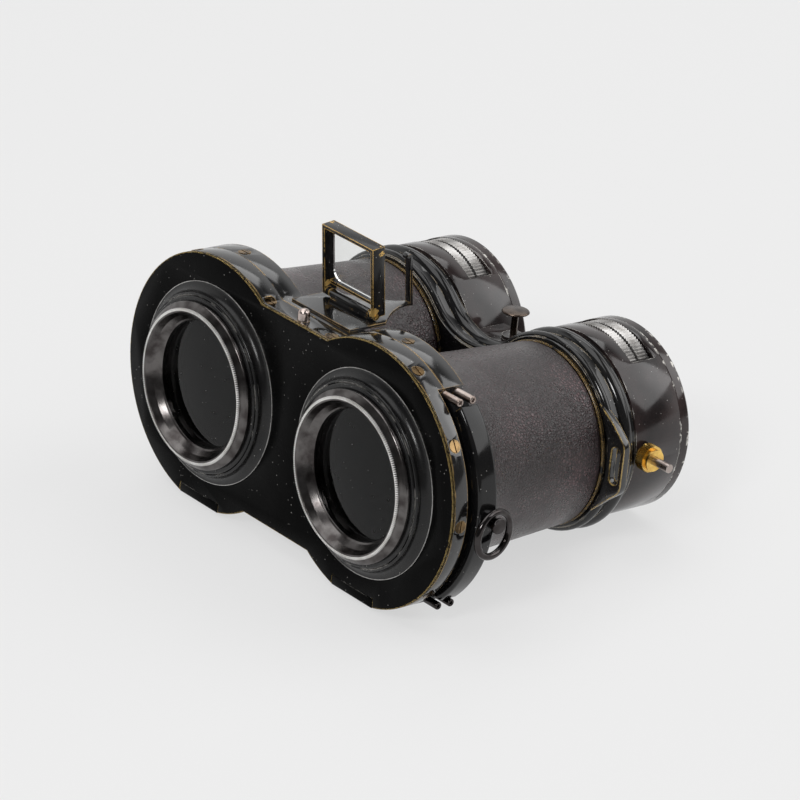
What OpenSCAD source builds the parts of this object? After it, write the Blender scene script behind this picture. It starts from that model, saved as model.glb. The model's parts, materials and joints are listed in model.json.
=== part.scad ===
// Binocular camera: a field glass whose rear drums carry revolving lens wheels, and whose
// front body holds a sideways drawer with two glass plates, so that it also takes stereo pairs.
// Millimetres. Each piece is drawn with the lens axes along +Y: y = 0 is the face of the front
// plate, z = 0 is the height of the lens axes, x = 0 is midway between them. stand() then sets
// the whole on its feet, nose slightly up, with the origin under the middle of its box.

/* [Plates and body] */
// Distance between the two lens axes
lens_spacing = 70; // [66:0.5:80]
// Width of one glass plate
plate_w = 45; // [40:0.5:46]
// Height of one glass plate
plate_h = 50; // [44:0.5:51]
// Thickness of one glass plate
plate_glass_t = 1.2; // [0.8:0.1:1.4]
// Room from a plate's corner to the inside of the body wall
corner_room = 2; // [1.9:0.1:4]
// Thickness of the body's side wall
frame_wall = 1.8; // [1.6:0.1:2.2]
// Height that is cut off under each round lobe to make a flat foot
foot_cut = 1; // [0.6:0.1:2]
// Thickness of the front plate
face_t = 1; // [0.8:0.1:1.2]
// Depth of the front lid from its face to the rear edge of its side band
lid_depth = 7.2; // [7:0.1:8]
// Wall of the lid's side band
lid_wall = 1; // [0.8:0.1:1.2]
// Depth of the lid's band where the drawer passes
lid_notch_depth = 5.2; // [5:0.1:5.8]
// Depth of the body frame behind the lid
frame_depth = 6.7; // [6.6:0.1:9]
// Thickness of the wall in front of the drawer
partition_t = 1; // [0.8:0.1:1.1]
// Thickness of the wall behind the drawer
back_wall_t = 0.8; // [0.6:0.1:1]
// Width of each foot block
foot_block_w = 17.6; // [12:0.2:20]
// Height of each foot block
foot_block_h = 2.7; // [2:0.1:4]
// Length of each foot block from the face
foot_block_len = 5; // [3:0.1:5.2]

/* [Objectives] */
// Radius of the mount's flange where it shows in the front plate
flange_r = 29.2; // [28:0.1:31]
// Radius of the mount behind its concave shoulder
mount_r = 26.4; // [25.8:0.1:27]
// Height of the mount in front of the face
mount_h = 3.7; // [3.4:0.1:5]
// Outer radius of the bezel
bezel_r = 24.3; // [23.8:0.1:24.6]
// Radius of the bezel's milled front rim
bezel_rim_r = 21.9; // [21.2:0.1:22.6]
// Height of the bezel's front rim in front of the face
bezel_h = 6.7; // [6:0.1:9]
// Radius of the clear opening in the bezel
aperture_r = 18.4; // [16:0.1:19]
// Thickness of the objective lens at its edge
lens_edge = 3.2; // [2.4:0.1:3.4]
// Bulge of the objective lens on each face
lens_bulge = 1.3; // [0.5:0.1:1.6]

/* [Barrels] */
// Length of each barrel between the body and the rear bridge
barrel_len = 50; // [40:0.5:60]
// Leather radius that a barrel would have at the body without its flare
barrel_front_r = 28.7; // [27.5:0.1:30]
// Leather radius of a barrel at the rear bridge
barrel_end_r = 26; // [25:0.1:26.2]
// Extra radius of the flare where a barrel leaves the body
flare_r = 4.4; // [2:0.1:4.8]
// Length of that flare
flare_len = 20; // [12:0.5:28]
// Thickness of the leather
leather_t = 0.8; // [0.6:0.1:1.2]
// Wall of the brass barrel tube
tube_wall = 1.2; // [0.8:0.1:1.4]

/* [Rear end] */
// Length of the rear bridge
bridge_len = 10.3; // [9.6:0.1:12]
// Radius of the bridge round each barrel
bridge_r = 27.2; // [27:0.1:28]
// Height of the bridge's waist above the lens axes
bridge_waist = 13; // [11:0.5:15]
// Reach of each strap ear from its lens axis
ear_reach = 33.2; // [33:0.1:35]
// Length of the strap slot in an ear
slot_len = 10.5; // [8:0.1:12]
// Width of the strap slot in an ear
slot_w = 3.2; // [2.6:0.1:3.4]
// Outer radius of each rear drum
drum_r = 27.3; // [27:0.1:27.6]
// Height of each rear drum's middle above the lens axes
drum_rise = 0.8; // [0.6:0.1:1]
// Wall of each rear drum
drum_wall = 1.2; // [1:0.1:1.4]
// Length of each rear drum
drum_len = 16.7; // [16.5:0.1:19]
// Length of the cap on each drum
cap_len = 3.65; // [3.2:0.05:5]
// Radius of the eye opening in each cap
eye_r = 5.2; // [4.4:0.1:5.3]
// Height of the wheel spindles above the lens axes
wheel_offset = 8.4; // [8:0.1:9]
// Radius of the milled wheels
wheel_r = 20; // [19.8:0.1:20.2]
// Teeth on the milled edge of each wheel
wheel_teeth = 120; // [60:6:140]
// Thickness of the wheel that carries the lenses
lens_wheel_t = 3.6; // [3:0.1:3.8]
// Thickness of the wheel that carries the stops
stop_wheel_t = 2.8; // [2:0.1:3]
// Radius of the spindle that both wheels turn on
spindle_r = 1.5; // [1.2:0.1:2]
// Radius of the three lens seats in the lens wheel
cell_r = 6; // [5:0.1:6.4]

/* [Shutter] */
// Thickness of the sliding shutter plate
shutter_t = 0.8; // [0.5:0.1:1]
// Travel of the shutter plate
shutter_travel = 16; // [14:0.5:17]
// Width of the opening in the shutter plate
shutter_gap = 5; // [3:0.5:6]
// Radius of the knurled tension nut
nut_r = 3.9; // [3.4:0.1:4]
// Length of the knurled tension nut
nut_len = 4.1; // [3:0.1:5]
// Radius of the threaded tension stud
stud_r = 1.25; // [1:0.05:1.4]
// Radius of the release knob's disc
knob_r = 4.1; // [3:0.1:5]
// Thickness of the release knob's disc
knob_t = 1.1; // [0.8:0.1:2]
// Height of the release knob above its bush
knob_rise = 6.4; // [5:0.1:9]
// Travel of the release knob
knob_travel = 1.5; // [0.8:0.1:1.8]

/* [Drawer] */
// Height of the drawer's rails above and below the plates' pockets
rail_w = 2.3; // [2:0.1:3]
// Radius of the guide rods
rod_r = 1.1; // [0.9:0.05:1.15]
// Distance between the two guide rods of a pair
rod_spacing = 4.4; // [4.2:0.1:4.6]
// Height that the drawer's front stands proud of the lobe
front_proud = 1.6; // [0.8:0.1:2.4]
// Thickness of the drawer's curved front
front_t = 3; // [2:0.1:3.2]
// Width of the drawer's curved front along the lens axes
front_w = 6.6; // [6.4:0.1:6.8]
// Radius of the wire of the pull ring
ring_wire_r = 1; // [0.8:0.1:1.4]
// Radius of the pull ring at the middle of its wire
ring_r = 6.3; // [5.5:0.1:9]
// Radius of the post that holds the pull ring
post_r = 1.7; // [1.2:0.1:2]

/* [Finder] */
// Outer width of the finder frame
finder_w = 22.4; // [20:0.2:26]
// Height of the finder frame above its hinge
finder_h = 20.2; // [16:0.2:21]
// Depth of the finder frame
finder_d = 4.2; // [4.1:0.1:5]
// Thickness of the sheet of the finder frame
finder_sheet = 1; // [0.7:0.1:1.2]
// Distance of the finder's hinge behind the face
finder_y = 19.6; // [18.5:0.1:22]
// Radius of the finder's hinge knuckles
knuckle_r = 1.2; // [1.1:0.1:1.3]
// Radius of the finder's hinge pin
finder_pin_r = 0.5; // [0.4:0.05:0.6]
// Length of the finder's base plate
finder_base_len = 32; // [28:0.5:34]
// Slope of the base plate's tongue down to the rear sight
tongue_slope = 5; // [0:0.5:6]
// Height of the rear sight above the end of the tongue
sight_h = 15.6; // [8:0.2:17]
// Width of the rear sight
sight_w = 2.3; // [1.6:0.1:4]
// Thickness of the rear sight
sight_t = 0.8; // [0.6:0.1:1.2]
// Radius of the roll at the tip of the rear sight
sight_roll_r = 0.9; // [0.7:0.05:1.4]
// Radius of the catch button
button_r = 1.7; // [1.3:0.1:1.75]
// Height of the catch button above the lid
button_h = 3.4; // [2.4:0.1:3.4]
// Travel of the catch button
button_travel = 1; // [0.6:0.1:1.4]

/* [Hidden] */
$fn = 96;
axis_x = lens_spacing / 2;
// Clearances: glued or screwed seats, shafts that turn, and sliding pieces
seat = 0.05;
running = 0.04;
sliding = 0.3;
touch = 0.02;
over = 1;

// Body outline, built outwards from the plates
sheath_wall = 0.8;
sheath_floor = 1.2;
pocket_gap = 0.1;
sheath_w = plate_w + 2 * sheath_wall;
sheath_h = plate_h + 2 * sheath_wall;
pocket_w = sheath_w + 2 * pocket_gap;
pocket_h = sheath_h + 2 * pocket_gap;
drawer_half_h = pocket_h / 2 + rail_w;
rod_z = drawer_half_h + sliding + rod_r;
rod_skin = 0.55;
waist_half = rod_z + rod_r + seat + rod_skin;
lid_gap = 0.1;
lip_t = 1;
lip_gap = 1;
frame_inner_r = norm([plate_w, plate_h]) / 2 + corner_room;
lobe_r = frame_inner_r + frame_wall;
foot_drop = lobe_r - foot_cut;

// Stations along the lens axes
frame_y0 = lid_depth + lid_gap;
frame_y1 = frame_y0 + frame_depth;
partition_y0 = lid_notch_depth + lid_gap;
cavity_y0 = partition_y0 + partition_t;
cavity_y1 = frame_y1 - back_wall_t;
bridge_y0 = frame_y1 + barrel_len;
bridge_y1 = bridge_y0 + bridge_len;
drum_y1 = bridge_y1 + drum_len;
cap_y1 = drum_y1 + cap_len;

// The camera stands on the rear edges of its front feet and on the rims of its rear caps
drum_drop = drum_r - drum_rise;
tilt = atan((foot_drop - drum_drop) / (cap_y1 - frame_y1));

// Drawer and rods
drawer_t = 4.9;
drawer_y1 = cavity_y1 - sliding;
drawer_y0 = drawer_y1 - drawer_t;
rod_gap = 0.2;
rod_y = [cavity_y0 + rod_r + rod_gap, cavity_y0 + rod_r + rod_gap + rod_spacing];
cut_x = axis_x + sqrt(pow(lobe_r, 2) - pow(waist_half + seat, 2));
rod_reach = 6.9;
rod_x1 = cut_x + rod_reach;
rod_end_skin = 0.4;
rod_x0 = -(axis_x + sqrt(pow(lobe_r, 2) - pow(waist_half, 2)) - rod_end_skin);
front_outer_r = lobe_r + front_proud;
front_inner_r = front_outer_r - front_t;
front_lap = 0.4;
front_y1 = frame_y1 + front_lap;
front_y0 = front_y1 - front_w;
back_lobe_r = front_inner_r - sliding;
post_y = front_y1 - front_w / 2;
post_z = -0.1;
post_len = 4.2;
post_head_r = 2.2;
post_head_t = 1.2;
ring_gap = 1.5;
ring_play = 0.4;
ring_x = axis_x + front_outer_r + ring_gap + ring_wire_r;
// The ring hangs plumb from the post once the camera stands
ring_drop = ring_r - ring_wire_r - post_r - sliding;
ring_y = post_y + ring_drop * sin(tilt);
ring_z = post_z - ring_drop * cos(tilt);
post_end_x = ring_x + ring_wire_r + ring_play + post_head_t;

// Rear end
stud_back = 2.8;
stud_y = bridge_y1 + stud_back;
stud_z = 1.3;
drum_front_t = 0.8;
shutter_room = 0.9;
shutter_y = bridge_y1 + drum_front_t + shutter_room;
wheels_back = 6.6;
wheel_gap = 1;
stop_wheel_y0 = bridge_y1 + wheels_back;
stop_wheel_y1 = stop_wheel_y0 + stop_wheel_t;
lens_wheel_y0 = stop_wheel_y1 + wheel_gap;
lens_wheel_y1 = lens_wheel_y0 + lens_wheel_t;
cap_disc_t = 1.4;
housing_len = 12.2;
housing_y1 = bridge_y1 + housing_len;
housing_drop = 0.7;
housing_z = bridge_waist - housing_drop;
knob_back = 6.9;
knob_y = bridge_y1 + knob_back;

// Finder
base_t = 0.8;
base_z = waist_half + base_t;
finder_z = base_z + knuckle_r + sliding;
base_setback = 1.8;
base_y0 = frame_y0 + base_setback;

// Origin: the middle of the standing camera's box, on the surface that it stands on
box_right = post_end_x;
box_left = -(axis_x + lobe_r);
box_front = -bezel_h * cos(tilt) - bezel_rim_r * sin(tilt);
box_back = cap_y1 * cos(tilt) + (drum_r + drum_rise) * sin(tilt);
box_base = -frame_y1 * sin(tilt) - foot_drop * cos(tilt);

// Colours
black_lacquer = [0.05, 0.05, 0.05];
dark_leather = [0.2, 0.17, 0.17];
steel = [0.62, 0.58, 0.55];
brass = [0.8, 0.6, 0.25];
clear_glass = [0.6, 0.68, 0.7, 0.4];

// Sets the pieces on their feet, about the origin
module stand() {
    translate([-(box_right + box_left) / 2, -(box_front + box_back) / 2, -box_base])
        rotate([-tilt, 0, 0]) children();
}

// Extrudes an XZ outline from y0 to y1
module along(y0, y1) {
    translate([0, y1, 0]) rotate([90, 0, 0]) linear_extrude(y1 - y0) children();
}

// Extrudes a YZ outline from x0 to x1
module across(x0, x1) {
    translate([x0, 0, 0]) rotate([90, 0, 90]) linear_extrude(x1 - x0) children();
}

// Turns a profile of (radius, distance along Y) about an axis parallel to Y
module turned(x, z = 0) {
    translate([x, 0, z]) rotate([-90, 0, 0]) rotate_extrude($fn = 144) children();
}

// A rod parallel to X
module rod_x(x0, x1, r, y, z) {
    translate([x0, y, z]) rotate([0, 90, 0]) cylinder(h = x1 - x0, r = r, $fn = 48);
}

// A rod parallel to Y
module rod_y(y0, y1, r, x, z) {
    translate([x, y0, z]) rotate([-90, 0, 0]) cylinder(h = y1 - y0, r = r, $fn = 64);
}

// Points of an arc of n steps
function arc(cx, cy, r, a0, a1, n) =
    [for (i = [0:n]) let (a = a0 + (a1 - a0) * i / n) [cx + r * cos(a), cy + r * sin(a)]];

// Outline of the front body, grown by g
module lobes(g) {
    difference() {
        union() {
            for (s = [-1, 1]) translate([s * axis_x, 0]) circle(lobe_r + g, $fn = 180);
            square([lens_spacing, 2 * (waist_half + g)], center = true);
        }
        translate([-2 * lens_spacing, -(foot_drop + g) - lobe_r])
            square([4 * lens_spacing, lobe_r]);
    }
}

// Radius of the leather at a distance y behind the face
function barrel_r(y) =
    let (t = max(0, 1 - (y - frame_y1) / flare_len))
    barrel_end_r + (barrel_front_r - barrel_end_r) * (bridge_y0 - y) / barrel_len
    + flare_r * t * t;

// Points of the rear bridge's outline, grown by g: two rounds joined by a waist with hollow sides
hollow_r = (pow(axis_x, 2) + pow(bridge_waist, 2) - pow(bridge_r, 2))
    / (2 * (bridge_r - bridge_waist));
hollow_z = bridge_waist + hollow_r;
join_a = atan(hollow_z / axis_x);
function bridge_points(g) = concat(
    arc(axis_x, 0, bridge_r + g, 180 - join_a, join_a - 180, 30),
    arc(0, -hollow_z, hollow_r - g, join_a + 6, 174 - join_a, 8),
    arc(-axis_x, 0, bridge_r + g, -join_a, join_a - 360, 30),
    arc(0, hollow_z, hollow_r - g, 186 + join_a, 354 - join_a, 8));
module bridge_outline(g) {
    polygon(bridge_points(g));
}

// A disc with a milled edge, as an outline
module toothed(r, teeth, depth) {
    polygon([for (i = [0:2 * teeth - 1])
        let (a = 180 * i / teeth, q = i % 2 == 0 ? r : r - depth) [q * cos(a), q * sin(a)]]);
}

// Screws through a lobe's wall point inwards along its radius at angle a
module on_lobe(side, a, y) {
    translate([side * axis_x, y, 0]) rotate([0, -a, 0]) translate([lobe_r, 0, 0])
        rotate([0, 90, 0]) children();
}

// Screws of the lid and of the body frame
lid_screw_y = 3.2;
lid_angles = [68, 32, -2, -42];
flat_screw_x = [-15, 12.5];
frame_screw_back = 2.6;
frame_screw_y = frame_y0 + frame_screw_back;
frame_angle = 88;
frame_foot_angle = 24;
screw_r = 0.9;
screw_head_r = 1.7;
head_sink = 0.7;
head_proud = 0.12;
screw_slot_w = 0.4;
screw_slot_d = 0.4;

// A slotted screw whose head lies nearly flush; +Z points out of the surface at z = 0
module screw(length) {
    difference() {
        union() {
            translate([0, 0, -head_sink]) cylinder(h = head_sink + head_proud, r = screw_head_r, $fn = 48);
            translate([0, 0, -length]) cylinder(h = length - head_sink / 2, r = screw_r, $fn = 32);
        }
        translate([-screw_head_r - over, -screw_slot_w / 2, head_proud - screw_slot_d])
            cube([2 * (screw_head_r + over), screw_slot_w, screw_slot_d + over]);
    }
}

// The hole for such a screw
module screw_hole(length) {
    translate([0, 0, -head_sink]) cylinder(h = head_sink + over, r = screw_head_r + seat, $fn = 48);
    translate([0, 0, -length - seat]) cylinder(h = length, r = screw_r + seat, $fn = 32);
}

module lid_screw_places() {
    for (s = [-1, 1]) for (a = lid_angles) on_lobe(s, s > 0 ? a : 180 - a, lid_screw_y) children();
    for (x = flat_screw_x) translate([x, lid_screw_y, waist_half]) children();
    for (s = [-1, 1]) translate([s * flat_screw_x[1], lid_screw_y, -waist_half])
        rotate([180, 0, 0]) children();
}

module frame_screw_places() {
    for (s = [-1, 1]) for (z = [-1, 1])
        on_lobe(s, z > 0 ? 90 - s * (90 - frame_angle) : -90 + s * frame_foot_angle, frame_screw_y)
            children();
}

lid_screw_len = lid_wall + lip_t;
frame_screw_skin = 0.2;
frame_screw_len = frame_wall - frame_screw_skin;

module foot_notch(gap, y0, y1) {
    for (s = [-1, 1]) translate([s * axis_x - foot_block_w / 2 - gap, y0, -foot_drop - over])
        cube([foot_block_w + 2 * gap, y1 - y0, foot_block_h + over + gap]);
}

// The bores of the four guide rods
module rod_bores() {
    for (z = [-1, 1]) for (y = rod_y) rod_x(rod_x0 - seat, cut_x + over, rod_r + seat, y, z * rod_z);
}

module front_plate() {
    color(black_lacquer) difference() {
        along(0, face_t) lobes(0);
        for (s = [-1, 1]) rod_y(-over, face_t + over, flange_r + seat, s * axis_x, 0);
        foot_notch(seat, -over, face_t + over);
    }
}

module lid_band() {
    color(black_lacquer) difference() {
        along(face_t, lid_depth) difference() {
            lobes(0);
            lobes(-lid_wall);
        }
        foot_notch(seat, face_t - over, foot_block_len + seat);
        translate([cut_x, lid_notch_depth, -2 * lobe_r]) cube([lobe_r, lid_depth, 4 * lobe_r]);
        rod_bores();
        lid_screw_places() screw_hole(lid_screw_len);
        translate([0, lid_screw_y, 0]) cylinder(h = 2 * waist_half, r = button_r + running, $fn = 48);
    }
}

module foot_blocks() {
    color(black_lacquer)
    for (s = [-1, 1]) translate([s * axis_x - foot_block_w / 2, 0, -foot_drop])
        cube([foot_block_w, foot_block_len, foot_block_h]);
}

module lid_screws() {
    color(brass) lid_screw_places() screw(lid_screw_len);
}

// The mount's front: a concave shoulder, then two beads round the seat of the bezel. Its flange
// is held behind the front plate.
mount_seat_y = 1.05;
bore_r = aperture_r + 2;
bead_r = 0.6;
beads_h = 1.4;
flange_lip = 1.4;
flange_t = 0.85;
mount_len = 4.4;
mount_wall = 1.8;
// Width of the step by which the bezel's skirt sits inside the mount
bezel_step = 1.1;
module objective_mount(side) {
    shoulder = flange_r - mount_r;
    shoulder_d = mount_h - beads_h;
    recess_r = bezel_r - bezel_step;
    flange_y = face_t + seat;
    color(black_lacquer) turned(side * axis_x) polygon(concat(
        [[bore_r, mount_len], [bore_r + mount_wall, mount_len], [flange_r + flange_lip, flange_y + flange_t],
            [flange_r + flange_lip, flange_y], [flange_r, flange_y]],
        [for (a = [90:10:180]) [flange_r + shoulder * cos(a), -shoulder_d + shoulder_d * sin(a)]],
        arc(mount_r - bead_r, -mount_h + beads_h - 0.1, bead_r, 10, -90, 6),
        arc(mount_r - 2.6 * bead_r, -mount_h + bead_r, bead_r, 0, -90, 6),
        [[recess_r, -mount_h], [recess_r, -mount_seat_y], [bore_r, -mount_seat_y]]));
}

// The bezel swells from its seat in the mount to a narrow milled rim, inside which a cone leads
// down to the lens
rim_w = 0.8;
rim_edge = 0.15;
cone_w = 1.7;
cone_lip = 0.4;
module objective_bezel(side) {
    skirt_r = bezel_r - bezel_step - seat;
    color(steel) turned(side * axis_x) polygon(concat(
        [[aperture_r, -mount_seat_y - seat], [skirt_r, -mount_seat_y - seat],
            [skirt_r, -mount_h], [bezel_r, -mount_h]],
        [for (i = [1:7]) let (t = i / 8)
            [bezel_r - (bezel_r - bezel_rim_r) * pow(t, 2.2),
                -mount_h - (bezel_h - mount_h - rim_edge) * t]],
        [[bezel_rim_r, -bezel_h + rim_edge], [bezel_rim_r - rim_edge, -bezel_h],
            [bezel_rim_r - rim_w, -bezel_h], [bezel_rim_r - rim_w - rim_edge, -bezel_h + rim_edge],
            [aperture_r + cone_w, -mount_h - 2 * cone_lip], [aperture_r, -mount_h + cone_lip]]));
}

lens_r = bore_r - seat;
// Room that the bulge of the lens needs at the edge of the aperture
lens_step = lens_bulge * (1 - pow(aperture_r / lens_r, 2)) + seat;
lens_y0 = -mount_seat_y + lens_step;
lens_y1 = lens_y0 + lens_edge;
module objective_lens(side) {
    sphere_r = (pow(lens_r, 2) + pow(lens_bulge, 2)) / (2 * lens_bulge);
    span = asin(lens_r / sphere_r);
    color(clear_glass) turned(side * axis_x) polygon(concat(
        arc(0, lens_y0 - lens_bulge + sphere_r, sphere_r, -90, -90 + span, 12),
        arc(0, lens_y1 + lens_bulge - sphere_r, sphere_r, 90 - span, 90, 12)));
}

retainer_w = 1.6;
module objective_retainer(side) {
    color(black_lacquer) turned(side * axis_x) translate([aperture_r, lens_y1 + lens_step])
        square([lens_r - aperture_r, retainer_w]);
}

// The catch spring stands on a shelf of the partition
shelf_drop = 6.8;
shelf_z = rod_z - shelf_drop;
shelf_w = 6;
shelf_t = 1;
// The wall in front of the drawer, with the lip that the lid is screwed to
module front_partition() {
    shelf_y0 = face_t + sliding;
    color(black_lacquer) difference() {
        union() {
            along(face_t + lip_gap, frame_y0) difference() {
                lobes(-lid_wall - lid_gap);
                lobes(-lid_wall - lid_gap - lip_t);
            }
            along(partition_y0, cavity_y0) lobes(-lid_wall - lid_gap);
            translate([-shelf_w / 2, shelf_y0, shelf_z - shelf_t])
                cube([shelf_w, partition_y0 + partition_t / 2 - shelf_y0, shelf_t]);
        }
        for (s = [-1, 1]) rod_y(0, frame_y0, bore_r, s * axis_x, 0);
        foot_notch(seat, 0, foot_block_len + seat);
        translate([cut_x, cavity_y0, -2 * lobe_r]) cube([lobe_r, frame_y1, 4 * lobe_r]);
        drawer_mouth();
        rod_bores();
        lid_screw_places() screw_hole(lid_screw_len + lid_gap);
        translate([0, lid_screw_y, shelf_z + over]) cylinder(h = shelf_drop, r = button_r + running, $fn = 48);
    }
}

// Room for the drawer in the wall on its side
mouth_depth = 6;
mouth_gap = 0.2;
module drawer_mouth() {
    translate([cut_x - mouth_depth, cavity_y0, -drawer_half_h - mouth_gap])
        cube([lobe_r, cavity_y1 - cavity_y0, 2 * (drawer_half_h + mouth_gap)]);
}

// The side wall round the drawer, open on the drawer's side
module body_frame() {
    color(black_lacquer) difference() {
        along(frame_y0, frame_y1) difference() {
            lobes(0);
            lobes(-frame_wall);
            translate([cut_x, -2 * lobe_r]) square([lobe_r, 4 * lobe_r]);
        }
        rod_bores();
        frame_screw_places() screw_hole(frame_screw_len);
    }
}

// The wall behind the drawer, with a window before each barrel
window_lap = 0.5;
module back_wall() {
    window_r = barrel_front_r + 2;
    color(black_lacquer) along(cavity_y1, frame_y1) difference() {
        lobes(-frame_wall - touch);
        for (s = [-1, 1]) translate([s * axis_x, 0]) intersection() {
            circle(window_r, $fn = 144);
            square([plate_w - 2 * window_lap, plate_h - 2 * window_lap], center = true);
        }
    }
}

module frame_screws() {
    color(brass) frame_screw_places() screw(frame_screw_len);
}

// Each rod's visible end is dimpled
dimple_d = 0.8;
module guide_rods() {
    color(steel)
    for (z = [-1, 1]) for (y = rod_y) difference() {
        rod_x(rod_x0, rod_x1, rod_r, y, z * rod_z);
        rod_x(rod_x1 - dimple_d, rod_x1 + over, rod_r * 0.45, y, z * rod_z);
    }
}

drawer_gap = 0.25;
module drawer_outline() {
    intersection() {
        union() {
            translate([-axis_x, 0]) circle(frame_inner_r - drawer_gap, $fn = 180);
            translate([axis_x, 0]) circle(front_inner_r - seat, $fn = 180);
            square([lens_spacing, 2 * drawer_half_h], center = true);
        }
        square([4 * lens_spacing, 2 * drawer_half_h], center = true);
    }
}

drawer_floor = 1.3;
pocket_y = drawer_y0 + drawer_floor;
module plate_drawer() {
    color(black_lacquer) difference() {
        along(drawer_y0, drawer_y1) drawer_outline();
        for (s = [-1, 1]) {
            translate([s * axis_x - pocket_w / 2, pocket_y, -pocket_h / 2])
                cube([pocket_w, drawer_t, pocket_h]);
            rod_y(drawer_y0 - over, drawer_y1, bore_r, s * axis_x, 0);
        }
    }
}

module drawer_front() {
    color(black_lacquer) along(front_y0, front_y1) intersection() {
        difference() {
            translate([axis_x, 0]) circle(front_outer_r, $fn = 180);
            translate([axis_x, 0]) circle(front_inner_r, $fn = 180);
        }
        translate([axis_x, -drawer_half_h]) square([2 * lobe_r, 2 * drawer_half_h]);
    }
}

sheath_lip = 0.4;
plate_gap = 0.1;
sheath_t = min(sheath_floor + plate_glass_t + sheath_lip, drawer_y1 - pocket_y - 2 * plate_gap);
module plate_sheaths() {
    color(steel)
    for (s = [-1, 1]) translate([s * axis_x, pocket_y + seat, 0]) difference() {
        translate([-sheath_w / 2, 0, -sheath_h / 2]) cube([sheath_w, sheath_t, sheath_h]);
        translate([-plate_w / 2 - plate_gap, sheath_floor, -plate_h / 2 - plate_gap])
            cube([plate_w + 2 * plate_gap, drawer_t, plate_h + 2 * plate_gap]);
    }
}

module glass_plates() {
    color(clear_glass)
    for (s = [-1, 1])
        translate([s * axis_x - plate_w / 2, pocket_y + 2 * seat + sheath_floor, -plate_h / 2])
            cube([plate_w, plate_glass_t, plate_h]);
}

// The post stands square on the drawer's front and its flat head keeps the ring on
module ring_post() {
    foot_x = axis_x + sqrt(pow(front_outer_r, 2) - pow(post_z + post_r, 2));
    head_x = post_end_x - post_head_t;
    color(black_lacquer) {
        difference() {
            rod_x(foot_x - over, head_x + touch, post_r, post_y, post_z);
            rod_y(front_y0, front_y1, front_outer_r + touch, axis_x, 0);
        }
        rod_x(head_x, head_x + post_head_t, post_head_r, post_y, post_z);
    }
}

// The ring hangs a little askew on its post
ring_turn = 8;
module pull_ring() {
    color(steel) translate([ring_x, ring_y, ring_z]) rotate([0, 0, ring_turn]) rotate([0, 90, 0])
        rotate_extrude($fn = 96) translate([ring_r, 0]) circle(ring_wire_r, $fn = 32);
}

barrel_steps = 14;
function barrel_points(shrink, y0, y1) = [for (i = [0:barrel_steps])
    let (y = y0 + (y1 - y0) * pow(i / barrel_steps, 1.4)) [barrel_r(y) - shrink, y]];
function reversed(points) = [for (i = [len(points) - 1:-1:0]) points[i]];

// The tube's front flange is soldered to the body, its rear end meets the bridge
module barrel_tube(side) {
    outer = leather_t + seat;
    color(black_lacquer) turned(side * axis_x) {
        polygon(concat(barrel_points(outer, frame_y1, bridge_y0),
            reversed(barrel_points(outer + tube_wall, frame_y1, bridge_y0))));
    }
}

leather_end = 1.2;
leather_gap = 0.1;
module barrel_leather(side) {
    color(dark_leather) turned(side * axis_x)
        polygon(concat(barrel_points(0, frame_y1 + leather_gap, bridge_y0 - leather_end),
            reversed(barrel_points(leather_t, frame_y1 + leather_gap, bridge_y0 - leather_end))));
}

tube_end_r = barrel_end_r - leather_t - seat - tube_wall;
spigot_wall = 1;
spigot_len = 3;
bridge_bore_r = tube_end_r - seat - spigot_wall;

// A rounded bead round the bridge, as steps of [start, end, growth]; the last is the widest
function bead(y0, y1, height, steps) = [for (i = [0:steps - 1])
    let (t = (i + 0.5) / steps, half = (y1 - y0) / 2 * sqrt(1 - t * t), middle = (y0 + y1) / 2)
    [middle - half, middle + half, height * (i + 1) / steps]];
front_bead = bead(0.6, 2.9, 1, 3);
rear_bead = bead(5.2, 8.8, 1.4, 4);

// An ear widens at its rounded corners and runs back to the bridge on both sides
ear_corner_r = 2.2;
ear_margin = 0.3;
ear_rise = 1.4;
ear_root = 0.6;
ear_root_a = 42;
module ear_outline(side) {
    corner_r = ear_corner_r;
    corner_z = slot_len / 2 + ear_margin;
    tip_x = ear_reach - corner_r;
    lead_a = ear_root_a;
    root_r = bridge_r - ear_root;
    mirror([side < 0 ? 1 : 0, 0]) translate([axis_x, ear_rise]) {
        polygon([[root_r * cos(lead_a), root_r * sin(lead_a) - ear_rise],
            [tip_x + corner_r * 0.6, corner_z + corner_r * 0.8], [tip_x, corner_z],
            [tip_x, -corner_z], [tip_x + corner_r * 0.6, -corner_z - corner_r * 0.8],
            [root_r * cos(lead_a), -root_r * sin(lead_a) - ear_rise]]);
        translate([root_r - slot_w, -corner_z]) square([ear_reach - root_r + slot_w, 2 * corner_z]);
        for (z = [-1, 1]) translate([tip_x, z * corner_z]) circle(corner_r, $fn = 48);
    }
}

slot_edge = 1.7;
slot_x = ear_reach - slot_w / 2 - slot_edge;
module slot_outline(side) {
    for (z = [-1, 1]) translate([side * (axis_x + slot_x), ear_rise + z * (slot_len - slot_w) / 2])
        circle(slot_w / 2, $fn = 48);
    translate([side * (axis_x + slot_x), ear_rise]) square([slot_w, slot_len - slot_w], center = true);
}

ear_t = 2.4;
module rear_bridge() {
    color(black_lacquer) difference() {
        union() {
            along(bridge_y0, bridge_y1) bridge_outline(0);
            for (step = concat(front_bead, rear_bead))
                along(bridge_y0 + step[0], bridge_y0 + step[1]) bridge_outline(step[2]);
            for (s = [-1, 1]) along(bridge_y0, bridge_y0 + ear_t) ear_outline(s);
            for (s = [-1, 1])
                rod_y(bridge_y0 - spigot_len, bridge_y0 + over, tube_end_r - seat, s * axis_x, 0);
        }
        for (s = [-1, 1]) {
            rod_y(bridge_y0 - spigot_len - over, bridge_y1 + over, bridge_bore_r, s * axis_x, 0);
            along(bridge_y0 - over, bridge_y1 + over) slot_outline(s);
        }
    }
}

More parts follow.
